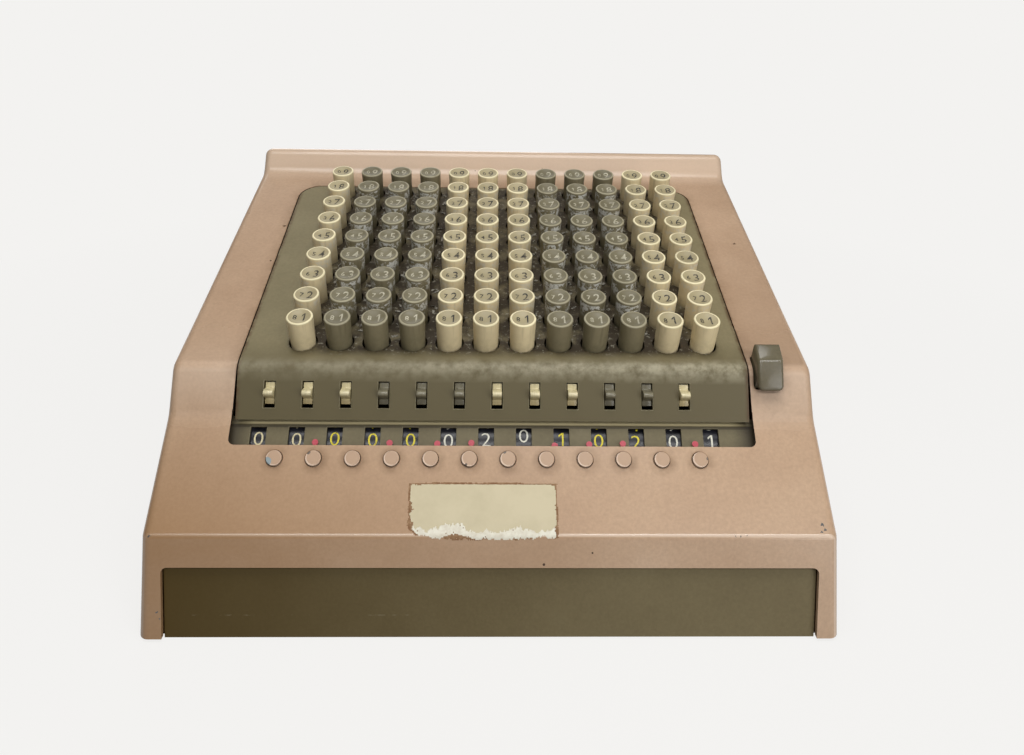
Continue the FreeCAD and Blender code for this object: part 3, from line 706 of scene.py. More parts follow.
    def soiled(self, net: Net, colour: Node) -> Node:
        """Adds dirt and painted shade round the panel and the clear key, and round the marker knobs a painted
        shadow ring and dirt most at their lower right.

        Args:
            net: Node tree to fill.
            colour: Colour of the enamel.

        Returns:
            The colour with the dirt and painted shade.
        """
        deck = net.on_slope((0, PLAN.row_one_y, PLAN.row_one_z), PLAN.deck_slope)
        middle = (PLAN.panel_back + self.panel_front) / 2
        half = (PLAN.panel_half + self.panel_gap, PLAN.panel_back + self.panel_gap - middle)
        panel = net.beside_box(deck, (0, middle), half, self.panel_corner)
        slot = net.beside_box(deck, *self.clear_slot)
        smudge = net.patches(9.0, Ramp(0.3, 0.62))
        # Dirt and painted shade by the gaps round the panel and the clear key's slot, strongest right at the
        # gaps.
        for gap, reach, top in ((panel, 7.0, 0.4), (panel, 1.0, 0.95), (slot, 7.0, 0.5), (slot, 1.2, 0.9)):
            colour = net.coats(colour, (net.strength((gap, Ramp(reach, 0.0, top)), smudge), self.dirt))
        knobs = net.on_slope((PLAN.first_marker, PLAN.marker_y, PLAN.marker_z), PLAN.apron_slope, PLAN.pitch)
        number, up, off = net.add("SeparateXYZ", {"Vector": knobs}).outputs
        inside = net.add("Math", {0: number, 1: 5.5, 2: 6.0}, operation="COMPARE")
        local = net.add("Math", {0: number, 1: 0.5, 2: -0.5}, operation="WRAP")
        point = net.add("CombineXYZ", {"X": local, "Y": up, "Z": off})
        radius = net.add("VectorMath", {0: point}, operation="LENGTH")
        beside = net.add("VectorMath", {0: point, 1: self.smear_at}, operation="DISTANCE")
        smear = net.strength((beside, self.knob_smear), smudge)
        # Dirt smeared at each knob's lower right, and a painted shadow ring round it.
        dirt = net.add("Math", {0: smear, 1: net.strength((radius, self.knob_ring))}, operation="MAXIMUM")
        return net.coats(colour, (net.strength(dirt, inside), self.dirt))


@dataclass(frozen=True)
class PanelEnamel(Enamel):
    """The panel's enamel: grime with painted shade, and lint, among the keys, a crest pale with scuffs and a
    painted highlight, painted shade towards the front; ramps in millimetres.
    """

    # Near black for grime and painted shade among the keys.
    grime: str = "#2C2214"
    lint: str = "#8F8A7A"
    # Pale for scuffs and a painted highlight on the crest.
    rubbed: str = "#A29B82"
    rust: str = "#4A2F17"
    # Brown for painted shade towards the front, over the crest and step.
    brown: str = "#5C5339"
    crest_upper: Ramp = Ramp(-11.0, -17.0)
    crest_lower: Ramp = Ramp(-24.0, -18.5)
    crest_side: Ramp = Ramp(-110.0, 115.0, 1.0, 0.35)
    browned: Ramp = Ramp(3.0, -24.0)
    keys_box: tuple[tuple[float, float], tuple[float, float], float] = ((4.8, 76.2), (112.0, 86.0), 8.0)
    among_keys: Ramp = Ramp(1.5, -4.0)
    rusted: Ramp = Ramp(127.4, 129.2, 0.8)

    def wear(self, net: Net, colour: Node) -> Node:
        """Adds painted shade towards the front, scuffs and a painted highlight on the crest, grime with
        painted shade, the lint and brown edges.

        Args:
            net: Node tree to fill.
            colour: Colour of the clean enamel.

        Returns:
            The worn colour.
        """
        deck = net.on_slope((0, PLAN.row_one_y, PLAN.row_one_z), PLAN.deck_slope)
        across, up, _ = net.add("SeparateXYZ", {"Vector": deck}).outputs
        # Scuffs and a painted highlight on the crest, stronger at the right.
        crest_scuff_and_highlight = net.strength((up, self.crest_upper), (up, self.crest_lower), (across, self.crest_side),
                             net.patches(7.0, Ramp(0.35, 0.6, 0.9)))
        # Grime and painted shade among the keys.
        inside = net.strength((net.beside_box(deck, *self.keys_box), self.among_keys))
        grime = net.strength(inside, net.patches(11.0, Ramp(0.2, 0.5, 0.95)))
        fluff = net.strength(inside, net.patches(2.0, Ramp(0.58, 0.66, 0.7)))
        off = net.add("Math", {0: across}, operation="ABSOLUTE")
        rim = net.strength((off, self.rusted), net.patches(6.0, Ramp(0.32, 0.55)))
        # Painted shade: browner and darker towards the front, over the crest and step.
        return net.coats(colour, (net.strength((up, self.browned)), self.brown), (crest_scuff_and_highlight, self.rubbed),
                         (grime, self.grime), (fluff, self.lint), (rim, self.rust))


@dataclass(frozen=True)
class RegisterEnamel(Enamel):
    """The register plate's enamel, with painted shade at its ends and fold and painted light on the ledge
    above; ramps in metres.
    """

    # Near black for painted shade at the plate's ends and along its fold.
    soot: str = "#2A2114"
    # Pale for painted light on the ledge.
    worn: str = "#C2B48C"
    fold: float = 81.2
    sooted: Ramp = Ramp(0.121, 0.131, 0.85)
    ledge: Ramp = Ramp(0.0, 0.0004, 0.9)

    def wear(self, net: Net, colour: Node) -> Node:
        """Adds the painted shade and the painted light on the ledge.

        Args:
            net: Node tree to fill.
            colour: Colour of the clean enamel.

        Returns:
            The worn colour.
        """
        across, _, height = net.add("SeparateXYZ", {"Vector": net.place}).outputs
        # Painted shade at both ends of the plate.
        end = net.strength((net.add("Math", {0: across}, operation="ABSOLUTE"), self.sooted))
        # Painted light on the ledge above the fold, and a painted shade line along the fold.
        above = net.add("Math", {0: height, 1: self.fold * MM}, operation="SUBTRACT")
        dark = net.add("Math", {0: above, 1: -0.0004, 2: 0.0005}, operation="COMPARE")
        dark = net.add("Math", {0: dark, 1: 0.5}, operation="MULTIPLY")
        pale = net.strength((above, self.ledge))
        return net.coats(colour, (pale, self.worn), (dark, self.soot), (end, self.soot))


@dataclass(frozen=True)
class FrontEnamel(Enamel):
    """The front panel's enamel, darker and browner towards its left end as painted shade, with pale rubs in a
    line; places in metres.
    """

    # Brown for painted shade towards the left end.
    brown: str = "#433209"
    rub: str = "#8E8670"
    browned: Ramp = Ramp(0.06, -0.15, 0.85)
    rub_height: float = 0.0105
    rub_half: float = 0.0003
    rub_end: float = -0.04

    def wear(self, net: Net, colour: Node) -> Node:
        """Adds the painted shade at the left and the rubs.

        Args:
            net: Node tree to fill.
            colour: Colour of the clean enamel.

        Returns:
            The worn colour.
        """
        across, _, height = net.add("SeparateXYZ", {"Vector": net.place}).outputs
        line = net.add("Math", {0: height, 1: self.rub_height, 2: self.rub_half}, operation="COMPARE")
        west = net.add("Math", {0: across, 1: self.rub_end}, operation="LESS_THAN")
        rubs = net.strength(line, west, net.patches(5.0, Ramp(0.52, 0.66, 0.25)))
        # The browning towards the left is painted shade.
        return net.coats(colour, (net.strength((across, self.browned)), self.brown), (rubs, self.rub))


@dataclass(frozen=True)
class KeyPlastic(Finish):
    """Moulded key caps: cream and dark columns, rims pale with polish and a painted highlight, tops darker
    than the sides with grime and painted shade, lint on the sides.

    The ramps run over depths under a cap's top, in millimetres, and over the noise of the streaks.
    """

    dark: str = "#837A5F"
    # Pale rims: polish and a painted highlight.
    cream_rim: str = "#E6DBB4"
    dark_rim: str = "#9C957C"
    # The dishes are darker than the sides: grime and painted shade on the tops.
    cream_dish: str = "#A39776"
    dark_dish: str = "#706952"
    cream_stain: str = "#8E7D58"
    dark_stain: str = "#3F3A2B"
    lint: str = "#D6D4CB"
    steel: str = "#77736A"
    rim_start: float = 5.75
    rim_edge: float = 0.15
    dish_depth: float = 1.4
    stem_start: float = 22.05
    tint: Ramp = Ramp(0.0, 1.0, 1.06, 0.9)
    stained: Ramp = Ramp(2.0, 19.0, 0.6)
    streaked: Ramp = Ramp(0.5, 0.72, 0.3)
    polished: Ramp = Ramp(0.9, 0.4)
    lint_start: Ramp = Ramp(1.2, 1.7)
    lint_end: Ramp = Ramp(11.0, 5.0)
    lint_share: Ramp = Ramp(0.0, 1.0, 1.0, 0.45)

    def pattern(self, net: Net) -> dict[str, Any]:
        """Finds each key's own column and radius and colours it from them.

        Args:
            net: Node tree to fill.

        Returns:
            Shader inputs.
        """
        pitch = PLAN.pitch
        grid = net.on_slope((PLAN.first_column, PLAN.row_one_y, PLAN.row_one_z), PLAN.deck_slope, pitch)
        cell = net.add("VectorMath", {0: grid, 1: (0.5, 0.5, 0.0)}, operation="ADD")
        cell = net.add("VectorMath", {0: cell}, operation="FLOOR")
        cell = net.add("VectorMath", {0: cell, 1: (1, 1, 0)}, operation="MULTIPLY")
        local = net.add("VectorMath", {0: grid, 1: cell}, operation="SUBTRACT")
        flat = net.add("VectorMath", {0: local, 1: (pitch, pitch, 0.0)}, operation="MULTIPLY")
        radius = net.add("VectorMath", {0: flat}, operation="LENGTH")
        depth = net.add("SeparateXYZ", {"Vector": grid}).outputs["Z"]
        depth = net.add("Math", {0: depth, 1: -pitch}, operation="MULTIPLY")
        column, row, _ = net.add("SeparateXYZ", {"Vector": cell}).outputs
        # In every six columns from the second, the first three are dark.
        group = net.add("Math", {0: column, 1: 1.0}, operation="SUBTRACT")
        group = net.add("Math", {0: group, 1: 6.0}, operation="FLOORED_MODULO")
        dark = net.add("Math", {0: group, 1: 2.5}, operation="LESS_THAN")
        cloud = net.patches(5.0, Ramp(0.25, 0.75))
        along = net.add("VectorMath", {0: grid, 1: (pitch, pitch, 0.06 * pitch)}, operation="MULTIPLY")
        streaks = net.add("TexNoise", {"Vector": along, "Scale": 0.45, "Detail": 4.0})
        stain = net.add("Math", {0: net.strength((depth, self.stained), cloud),
                                 1: net.strength((streaks, self.streaked))}, operation="MAXIMUM")
        # The whole dish is darker than the sides: grime and painted shade on the tops.
        bowl = net.strength(net.add("Math", {0: depth, 1: self.dish_depth}, operation="LESS_THAN"),
                            net.add("Math", {0: radius, 1: self.rim_start}, operation="LESS_THAN"))
        # The rims' tops are pale with polish and a painted highlight.
        outer = Ramp(self.rim_start, self.rim_start + self.rim_edge)
        worn = net.strength((radius, outer), (depth, self.polished),
                            net.patches(4.0, Ramp(0.25, 0.45, 1.0, 0.45)))
        kinds = [net.coats(base, (stain, dirt), (bowl, dish), (worn, rim)) for base, dirt, dish, rim in (
            (self.colour, self.cream_stain, self.cream_dish, self.cream_rim),
            (self.dark, self.dark_stain, self.dark_dish, self.dark_rim))]
        colour = net.add("Mix", {"Factor": dark, "A": kinds[0], "B": kinds[1]}, data_type="RGBA")
        tint = net.strength((net.add("TexWhiteNoise", {"Vector": cell}), self.tint))
        colour = net.add("Mix", {"Factor": 1.0, "A": colour, "B": tint}, data_type="RGBA",
                         blend_type="MULTIPLY")
        fluff = self.fluff(net, depth, row, dark)
        stem = net.add("Math", {0: depth, 1: self.stem_start}, operation="GREATER_THAN")
        height = net.add("Math", {0: fluff, 1: cloud}, operation="ADD")
        return {"Base Color": net.coats(colour, (fluff, self.lint), (stem, self.steel)), "Metallic": stem,
                "Roughness": net.patches(5.0, Ramp(0.3, 0.7, self.roughness + 0.16, self.roughness - 0.08)),
                "Normal": net.add("Bump", {"Height": height, "Strength": 0.3, "Distance": 0.0003})}

    def fluff(self, net: Net, depth: Node, row: NodeSocket, dark: Node) -> Node:
        """Lint that clings to the caps' sides, more on the dark ones and none in the first and last rows.

        Args:
            net: Node tree to fill.
            depth: Depth under the cap's top, in millimetres.
            row: Number of the row, from 0.
            dark: One on a dark cap.

        Returns:
            Node whose first output is the strength.
        """
        between = net.add("Math", {0: row, 1: 4.0, 2: 3.5}, operation="COMPARE")
        smear = net.patches(8.0, Ramp(0.42, 0.49))
        curl = net.patches(2.4, Ramp(0.46, 0.53), net.ragged(net.place, per_mm(3.0), 0.003))
        return net.strength((depth, self.lint_start), (depth, self.lint_end), between,
                            (dark, self.lint_share), smear, curl)


@dataclass(frozen=True)
class WornInk(Finish):
    """Printing ink that fingers have rubbed thin, so that the ground shows through in places."""

    ground: str = "#C8BB94"
    size: float = 2.2
    thin: Ramp = Ramp(0.42, 0.7, 0.9)

    def pattern(self, net: Net) -> dict[str, Any]:
        """Lets the ground show through."""
        return {"Base Color": net.coats(self.colour, (net.patches(self.size, self.thin), self.ground))}


@dataclass(frozen=True)
class MarkerEnamel(Finish):
    """A decimal marker by depth under the apron: enamelled knob, bare steel arm and a red dot on it.

    Sizes are in millimetres. A chip is a knob's number, a place on it, a radius and the bare colour.
    """

    red: str = "#B84A56"
    steel: str = "#6E6A60"
    shade: str = "#A98B76"
    # Pale colour of the painted highlight on the knobs' rims.
    rim: str = "#DCC5B0"
    rim_at: tuple[float, float, float] = (0.55, 0.35, 0.0)
    rimmed: Ramp = Ramp(3.55, 3.85, 0.75)
    arm_height: float = -2.6
    dot_height: float = -3.7
    dot_half: float = 0.33
    chips: tuple[tuple[int, float, float, float, str], ...] = (
        (0, -3.0, -1.8, 2.1, "#8C989A"), (1, -2.5, 2.6, 1.0, "#6B6258"), (5, -1.5, -2.9, 0.7, "#4F453B"),
        (6, -1.6, 3.3, 0.9, "#6B6258"), (11, 3.7, 0.4, 0.9, "#6B6258"))

    def pattern(self, net: Net) -> dict[str, Any]:
        """Chooses by the distance from the apron's face, with a painted highlight on the knobs' rims and the
        chipped knobs.

        Args:
            net: Node tree to fill.

        Returns:
            Shader inputs.
        """
        grid = net.on_slope((PLAN.first_marker, PLAN.marker_y, PLAN.marker_z), PLAN.apron_slope)
        across, up, height = net.add("SeparateXYZ", {"Vector": grid}).outputs
        local = net.add("Math", {0: across, 1: PLAN.pitch / 2, 2: -PLAN.pitch / 2}, operation="WRAP")
        point = net.add("CombineXYZ", {"X": local, "Y": up})
        # A painted highlight: a pale crescent inside each knob's rim, at its lower left.
        beside = net.add("VectorMath", {0: point, 1: self.rim_at}, operation="DISTANCE")
        colour = net.coats(self.colour, (net.patches(5.0, Ramp(0.4, 0.7, 0.25)), self.shade),
                           (net.strength((beside, self.rimmed)), self.rim))
        torn = net.ragged(grid, 0.7, 0.5)
        for knob, x, y, size, bare in self.chips:
            far = net.add("VectorMath", {0: torn, 1: (knob * PLAN.pitch + x, y, 1.0)}, operation="DISTANCE")
            colour = net.coats(colour, (net.add("Math", {0: far, 1: size}, operation="LESS_THAN"), bare))
        arm = net.add("Math", {0: height, 1: self.arm_height}, operation="LESS_THAN")
        dot = net.add("Math", {0: height, 1: self.dot_height, 2: self.dot_half}, operation="COMPARE")
        return {"Base Color": net.coats(colour, (arm, self.steel), (dot, self.red))}


@dataclass(frozen=True)
class Steel(Finish):
    """Plain mill-finish steel with dull brown spots of old oil."""

    spot: str = "#5B5242"

    def pattern(self, net: Net) -> dict[str, Any]:
        """Adds the spots and uneven gloss.

        Args:
            net: Node tree to fill.

        Returns:
            Shader inputs.
        """
        rough = net.patches(4.0, Ramp(0.3, 0.7, self.roughness + 0.2, self.roughness - 0.08))
        spots = net.patches(14.0, Ramp(0.5, 0.7, 0.7))
        return {"Base Color": net.coats(self.colour, (spots, self.spot)), "Roughness": rough}


@dataclass(frozen=True)
class Moulded(Finish):
    """Moulded plastic, rubber or paper with a slight mottle and dust in patches."""

    dust: str = "#8B7A55"
    share: float = 0.45
    cloud: float = 5.0
    grain: float = 0.8

    def pattern(self, net: Net) -> dict[str, Any]:
        """Adds the dust and a fine grain.

        Args:
            net: Node tree to fill.

        Returns:
            Shader inputs.
        """
        dust = net.patches(self.cloud, Ramp(0.4, 0.75, self.share))
        grain = net.add("TexNoise", {"Vector": net.place, "Scale": per_mm(self.grain), "Detail": 2.0})
        bump = net.add("Bump", {"Height": grain, "Strength": 0.1, "Distance": 0.0001})
        return {"Base Color": net.coats(self.colour, (dust, self.dust)), "Normal": bump}


@dataclass(frozen=True)
class LeverPlastic(Finish):
    """A lever's plastic: brushed lengthwise by fingers, browner below its ridge, pale on the ridge's top with
    polish and a painted highlight; ramps in millimetres.
    """

    brown: str = "#8A7444"
    # Pale for polish and a painted highlight on the ridge's top.
    pale: str = "#E2D8B4"
    browned: Ramp = Ramp(0.0, -3.5, 0.6)
    polished: Ramp = Ramp(2.2, 4.2, 0.45)
    brushed: Ramp = Ramp(0.3, 0.7, 1.1, 0.84)

    def pattern(self, net: Net) -> dict[str, Any]:
        """Adds the brushing, the ridge's top made pale by polish and a painted highlight, and the browning.

        Args:
            net: Node tree to fill.

        Returns:
            Shader inputs.
        """
        step = net.on_slope((PLAN.first_lever, PLAN.slot_y, PLAN.slot_z), PLAN.step_slope)
        _, up, off = net.add("SeparateXYZ", {"Vector": step}).outputs
        # The ridge's top is pale with polish and a painted highlight.
        colour = net.coats(self.colour, (net.strength((up, self.browned)), self.brown),
                           (net.strength((off, self.polished)), self.pale))
        # Brushing drawn at three times its real width so that it shows.
        along = net.add("VectorMath", {0: step, 1: (1.3, 0.12, 0.3)}, operation="MULTIPLY")
        noise = net.add("TexNoise", {"Vector": along, "Scale": 1.0, "Detail": 3.0})
        lines = net.strength((noise, self.brushed))
        return {"Base Color": net.add("Mix", {"Factor": 1.0, "A": colour, "B": lines}, data_type="RGBA",
                                      blend_type="MULTIPLY")}


@dataclass(frozen=True)
class PaperFloor(Finish):
    """Paper: pale to the eye, with the shadow near the object, dimmer as a light source; ramp in metres."""

    dim: str = "#6A6864"
    shadow: Ramp = Ramp(0.25, 0.6, 1.0, 0.9)

    def surface(self, net: Net) -> Node:
        """Adds the paper as the eye and reflections see it, and as the light from it is.

        Args:
            net: Node tree to fill.

        Returns:
            The shader.
        """
        path = net.add("LightPath").outputs
        seen = net.add("Math", {0: path["Is Camera Ray"], 1: path["Is Glossy Ray"]}, operation="MAXIMUM")
        reach = net.add("VectorMath", {0: net.place}, operation="LENGTH")
        shade, dim = [net.add("BsdfDiffuse", {"Color": linear(colour)}) for colour in (self.colour, self.dim)]
        glow = net.add("Emission", {"Color": linear(self.colour)})
        bright = net.add("MixShader", {0: net.strength((reach, self.shadow)), 1: shade, 2: glow})
        return net.add("MixShader", {0: seen, 1: dim, 2: bright})


def block(size: tuple[float, float, float], centre: tuple[float, float, float]) -> Object:
    """Plain block to shape further.

    Args:
        size: Its lengths along X, Y and Z, in millimetres.
        centre: Its middle, in millimetres.

    Returns:
        The block, settled.
    """
    deselect()
    bpy.ops.mesh.primitive_cube_add(size=1, location=Vector(centre) * MM, scale=Vector(size) * MM)
    return settle(bpy.context.object)


def chamfer(piece: Object, width: float, segments: int = 1, angle: float = 30.0) -> None:
    """Breaks a piece's edges by a width in millimetres, where they are sharper than an angle in degrees."""
    apply_modifier(piece, "BEVEL", width=width * MM, segments=segments, limit_method="ANGLE",
                   angle_limit=math.radians(angle))


def sleeve(radius: float, wall: float, length: float, centre: tuple[float, float, float]) -> Object:
    """Open tube along X with broken edges.

    Args:
        radius: Outer radius in millimetres.
        wall: Thickness of its wall in millimetres.
        length: Its length in millimetres.
        centre: Its middle, in millimetres.

    Returns:
        The tube, settled.
    """
    deselect()
    bpy.ops.mesh.primitive_cylinder_add(vertices=32, radius=radius * MM, depth=length * MM,
                                        end_fill_type="NOTHING", location=Vector(centre) * MM,
                                        rotation=(0, math.pi / 2, 0))
    piece = settle(bpy.context.object)
    apply_modifier(piece, "SOLIDIFY", thickness=wall * MM, offset=-1.0)
    chamfer(piece, 0.15)
    return piece


def bezel(width: float, height: float, rim: float, sink: float, corner: float) -> Object:
    """Pressed-in rim of an opening: a ring of strips that slope inwards, with round corners.

    Args:
        width: Width of the opening in millimetres.
        height: Height of the opening in millimetres.
        rim: Width of the rim in millimetres.
        sink: Depth of its inner edge in millimetres.
        corner: Radius of its corners in millimetres.

    Returns:
        The rim, around the origin in its own XY plane.
    """
    deselect()
    bpy.ops.mesh.primitive_plane_add(size=1)
    piece = bpy.context.object
    piece.scale = ((width + 2 * rim) * MM, (height + 2 * rim) * MM, 1)
    edit(settle(piece))
    bpy.ops.mesh.bevel(offset=corner * MM, segments=3, affect="VERTICES")
    bpy.ops.mesh.select_all(action="SELECT")
    bpy.ops.mesh.inset(thickness=rim * MM, depth=-sink * MM)
    bpy.ops.mesh.delete(type="FACE")
    bpy.ops.object.mode_set(mode="OBJECT")
    return piece


@dataclass(frozen=True)
class Scrap:
    """One torn sheet of the label, in millimetres.

    The box holds its left, right, lower and upper edges on the apron, from the crease's middle, and the tears
    reach in from each of them. It lies at its lift over the enamel, with a share of its cells missing.
    """

    box: tuple[float, float, float, float]
    tears: tuple[float, float, float, float]
    lift: float
    holes: float
    finish: Finish


@dataclass
class Casing:
    """Pressed casing, its front panel and the remains of a blank label on the apron; sizes in millimetres."""

    cell: float = 0.5
    seed: int = 11
    tear_step: float = 0.22
    whole_above: float = 0.66
    whole_share: float = 0.12
    lost_corner: tuple[float, float] = (5.0, 4.0)
    fray: float = 0.18
    label_start: float = 4.0
    strip_size: tuple[float, float, float] = (7.5, 0.6, 42.0)
    strip_at: tuple[float, float, float] = (157.2, -136.2, 19.0)
    strip_lean: float = 18.0
    strip_foot: float = 0.4
    scraps: tuple[Scrap, ...] = (
        # Rust and old glue: dark brown, blotchy and dull.
        Scrap((-41.2, 30.9, -1.6, 25.5), (1.6, 0.5, 2.4, 0.5), 0.04, 0.01,
              Moulded("label_glue", "#7A5738", roughness=0.8, dust="#A38664", share=0.8, cloud=3.0)),
        # Torn backing paper: white fibres, quite matte.
        Scrap((-39.8, 30.0, -1.4, 12.0), (3.0, 0.8, 2.4, 0.1), 0.09, 0.004,
              Moulded("label_paper", "#DEDACA", roughness=0.9, dust="#B5A78F", share=0.6, cloud=3.0)),
        # Yellowed foil: pale, faintly mottled, a soft shine.
        Scrap((-40.2, 29.9, 1.6, 24.5), (3.4, 0.3, 4.4, 0.3), 0.15, 0.0,
              Moulded("label_foil", "#C3B797", roughness=0.38, dust="#AFA382", share=0.55, cloud=14.0)))

    def build(self) -> None:
        """Dresses the sheet metal and adds the label and the end strips."""
        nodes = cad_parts
        # Old pink stove enamel: semi-gloss, mottled by age, brown with hand dirt and painted shade round the
        # openings, with painted shade at the lower left and on the deck and painted highlights on the lip,
        # shoulders and crease.
        casing = CasingEnamel("casing_enamel", "#B99C81", roughness=0.2, shade="#A7896E", bloom="#C2A78D")
        dress(nodes["top_casing"], casing.make())
        # Olive brown satin enamel, browner at the left as painted shade.
        front = FrontEnamel("front_panel_enamel", "#70654A", roughness=0.45, gloss=0.2, shade="#63583F",
                            bloom="#776D52")
        dress(nodes["front_panel"], front.make())
        for scrap in self.scraps:
            dress(self.layer(scrap), scrap.finish.make())
        self.end_strips()

    def end_strips(self) -> None:
        """Closes the gaps at the front panel's ends with dark strips behind them, which stand in for the
        shade there.
        """
        strips = []
        x, y, z = self.strip_at
        for side in (-1, 1):
            strip = block(self.strip_size, (0, 0, 0))
            strip.matrix_world = slope(side * x, y, z, -self.strip_lean)
            edit(settle(strip))
            cut((0, 0, self.strip_foot * MM), (0, 0, -1), clear_outer=True, use_fill=True)
            bpy.ops.object.mode_set(mode="OBJECT")
            chamfer(strip, 0.15)
            strips.append(strip)
        whole = joined(strips, "end_strips")
        # A dark sheet behind each gap as painted shade: dark brown, fibrous, no shine.
        gap_shade_finish = Moulded("brown_felt", "#37230F", roughness=0.95, dust="#4E3820", share=0.6, gloss=0.1)
        dress(whole, gap_shade_finish.make())
        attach(whole, ROOT)

    def walk(self, dice: random.Random, reach: float, count: int) -> list[float]:
        """Random walk between nought and a reach, as a torn edge runs.

        Args:
            dice: Source of the steps.
            reach: How far the tear reaches in, in millimetres.
            count: Number of cells along the edge.

        Returns:
            Depth of the tear at every cell's start and at the end.
        """
        depth, line = reach / 2, []
        for _ in range(count + 1):
            depth = min(max(depth + dice.uniform(-self.tear_step, self.tear_step) * reach, 0.0), reach)
            line.append(depth)
        return line

    def layer(self, scrap: Scrap) -> Object:
        """Tears a sheet of the label out of a grid of cells and presses it onto the apron.

        Args:
            scrap: The sheet.

        Returns:
            Its piece.
        """
        name = scrap.finish.name
        dice = random.Random(self.seed + len(name))
        left, right, foot, top = scrap.box
        width, height = right - left, top - foot
        across, up = int(width / self.cell), int(height / self.cell)
        deselect()
        bpy.ops.mesh.primitive_grid_add(x_subdivisions=across, y_subdivisions=up, size=1)
        sheet = bpy.context.object
        sheet.name = name
        sheet.scale = (width * MM, height * MM, 1)
        settle(sheet)
        edges = [self.walk(dice, reach, count) for reach, count in zip(scrap.tears, (up, up, across, across))]

        def torn(centre: Vector, _normal: Vector) -> bool:
            """Says whether a cell is torn off, from its centre.

            The left edge is whole near its top, the lower left corner is gone.

            Args:
                centre: Centre of the cell, from the sheet's middle.
                _normal: Not needed.

            Returns:
                Whether it is.
            """
            x, y = centre.x / MM + width / 2, centre.y / MM + height / 2
            column, line = int(x / self.cell), int(y / self.cell)
            whole = self.whole_share if y > self.whole_above * height else 1.0
            off_side = x < edges[0][line] * whole or width - x < edges[1][line]
            off_end = y < edges[2][column] or height - y < edges[3][column]
            corner = x / self.lost_corner[0] + (y + foot) / self.lost_corner[1] < 1.0
            return off_side or off_end or corner or dice.random() < scrap.holes

        pick(sheet, Picked.FACES, torn)
        bpy.ops.mesh.delete(type="FACE")
        bpy.ops.mesh.select_all(action="SELECT")
        bpy.ops.mesh.region_to_loop()
        bpy.ops.transform.vertex_random(offset=self.fray * MM, seed=self.seed)
        bpy.ops.object.mode_set(mode="OBJECT")
        middle = slope((left + right) / 2, PLAN.crease_y, PLAN.crease_z, PLAN.apron_slope)
        sheet.matrix_world = middle @ moved(0, (top + foot) / 2, self.label_start)
        laid_on(sheet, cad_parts["top_casing"], scrap.lift)
        smooth(sheet)
        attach(sheet, ROOT)
        return sheet


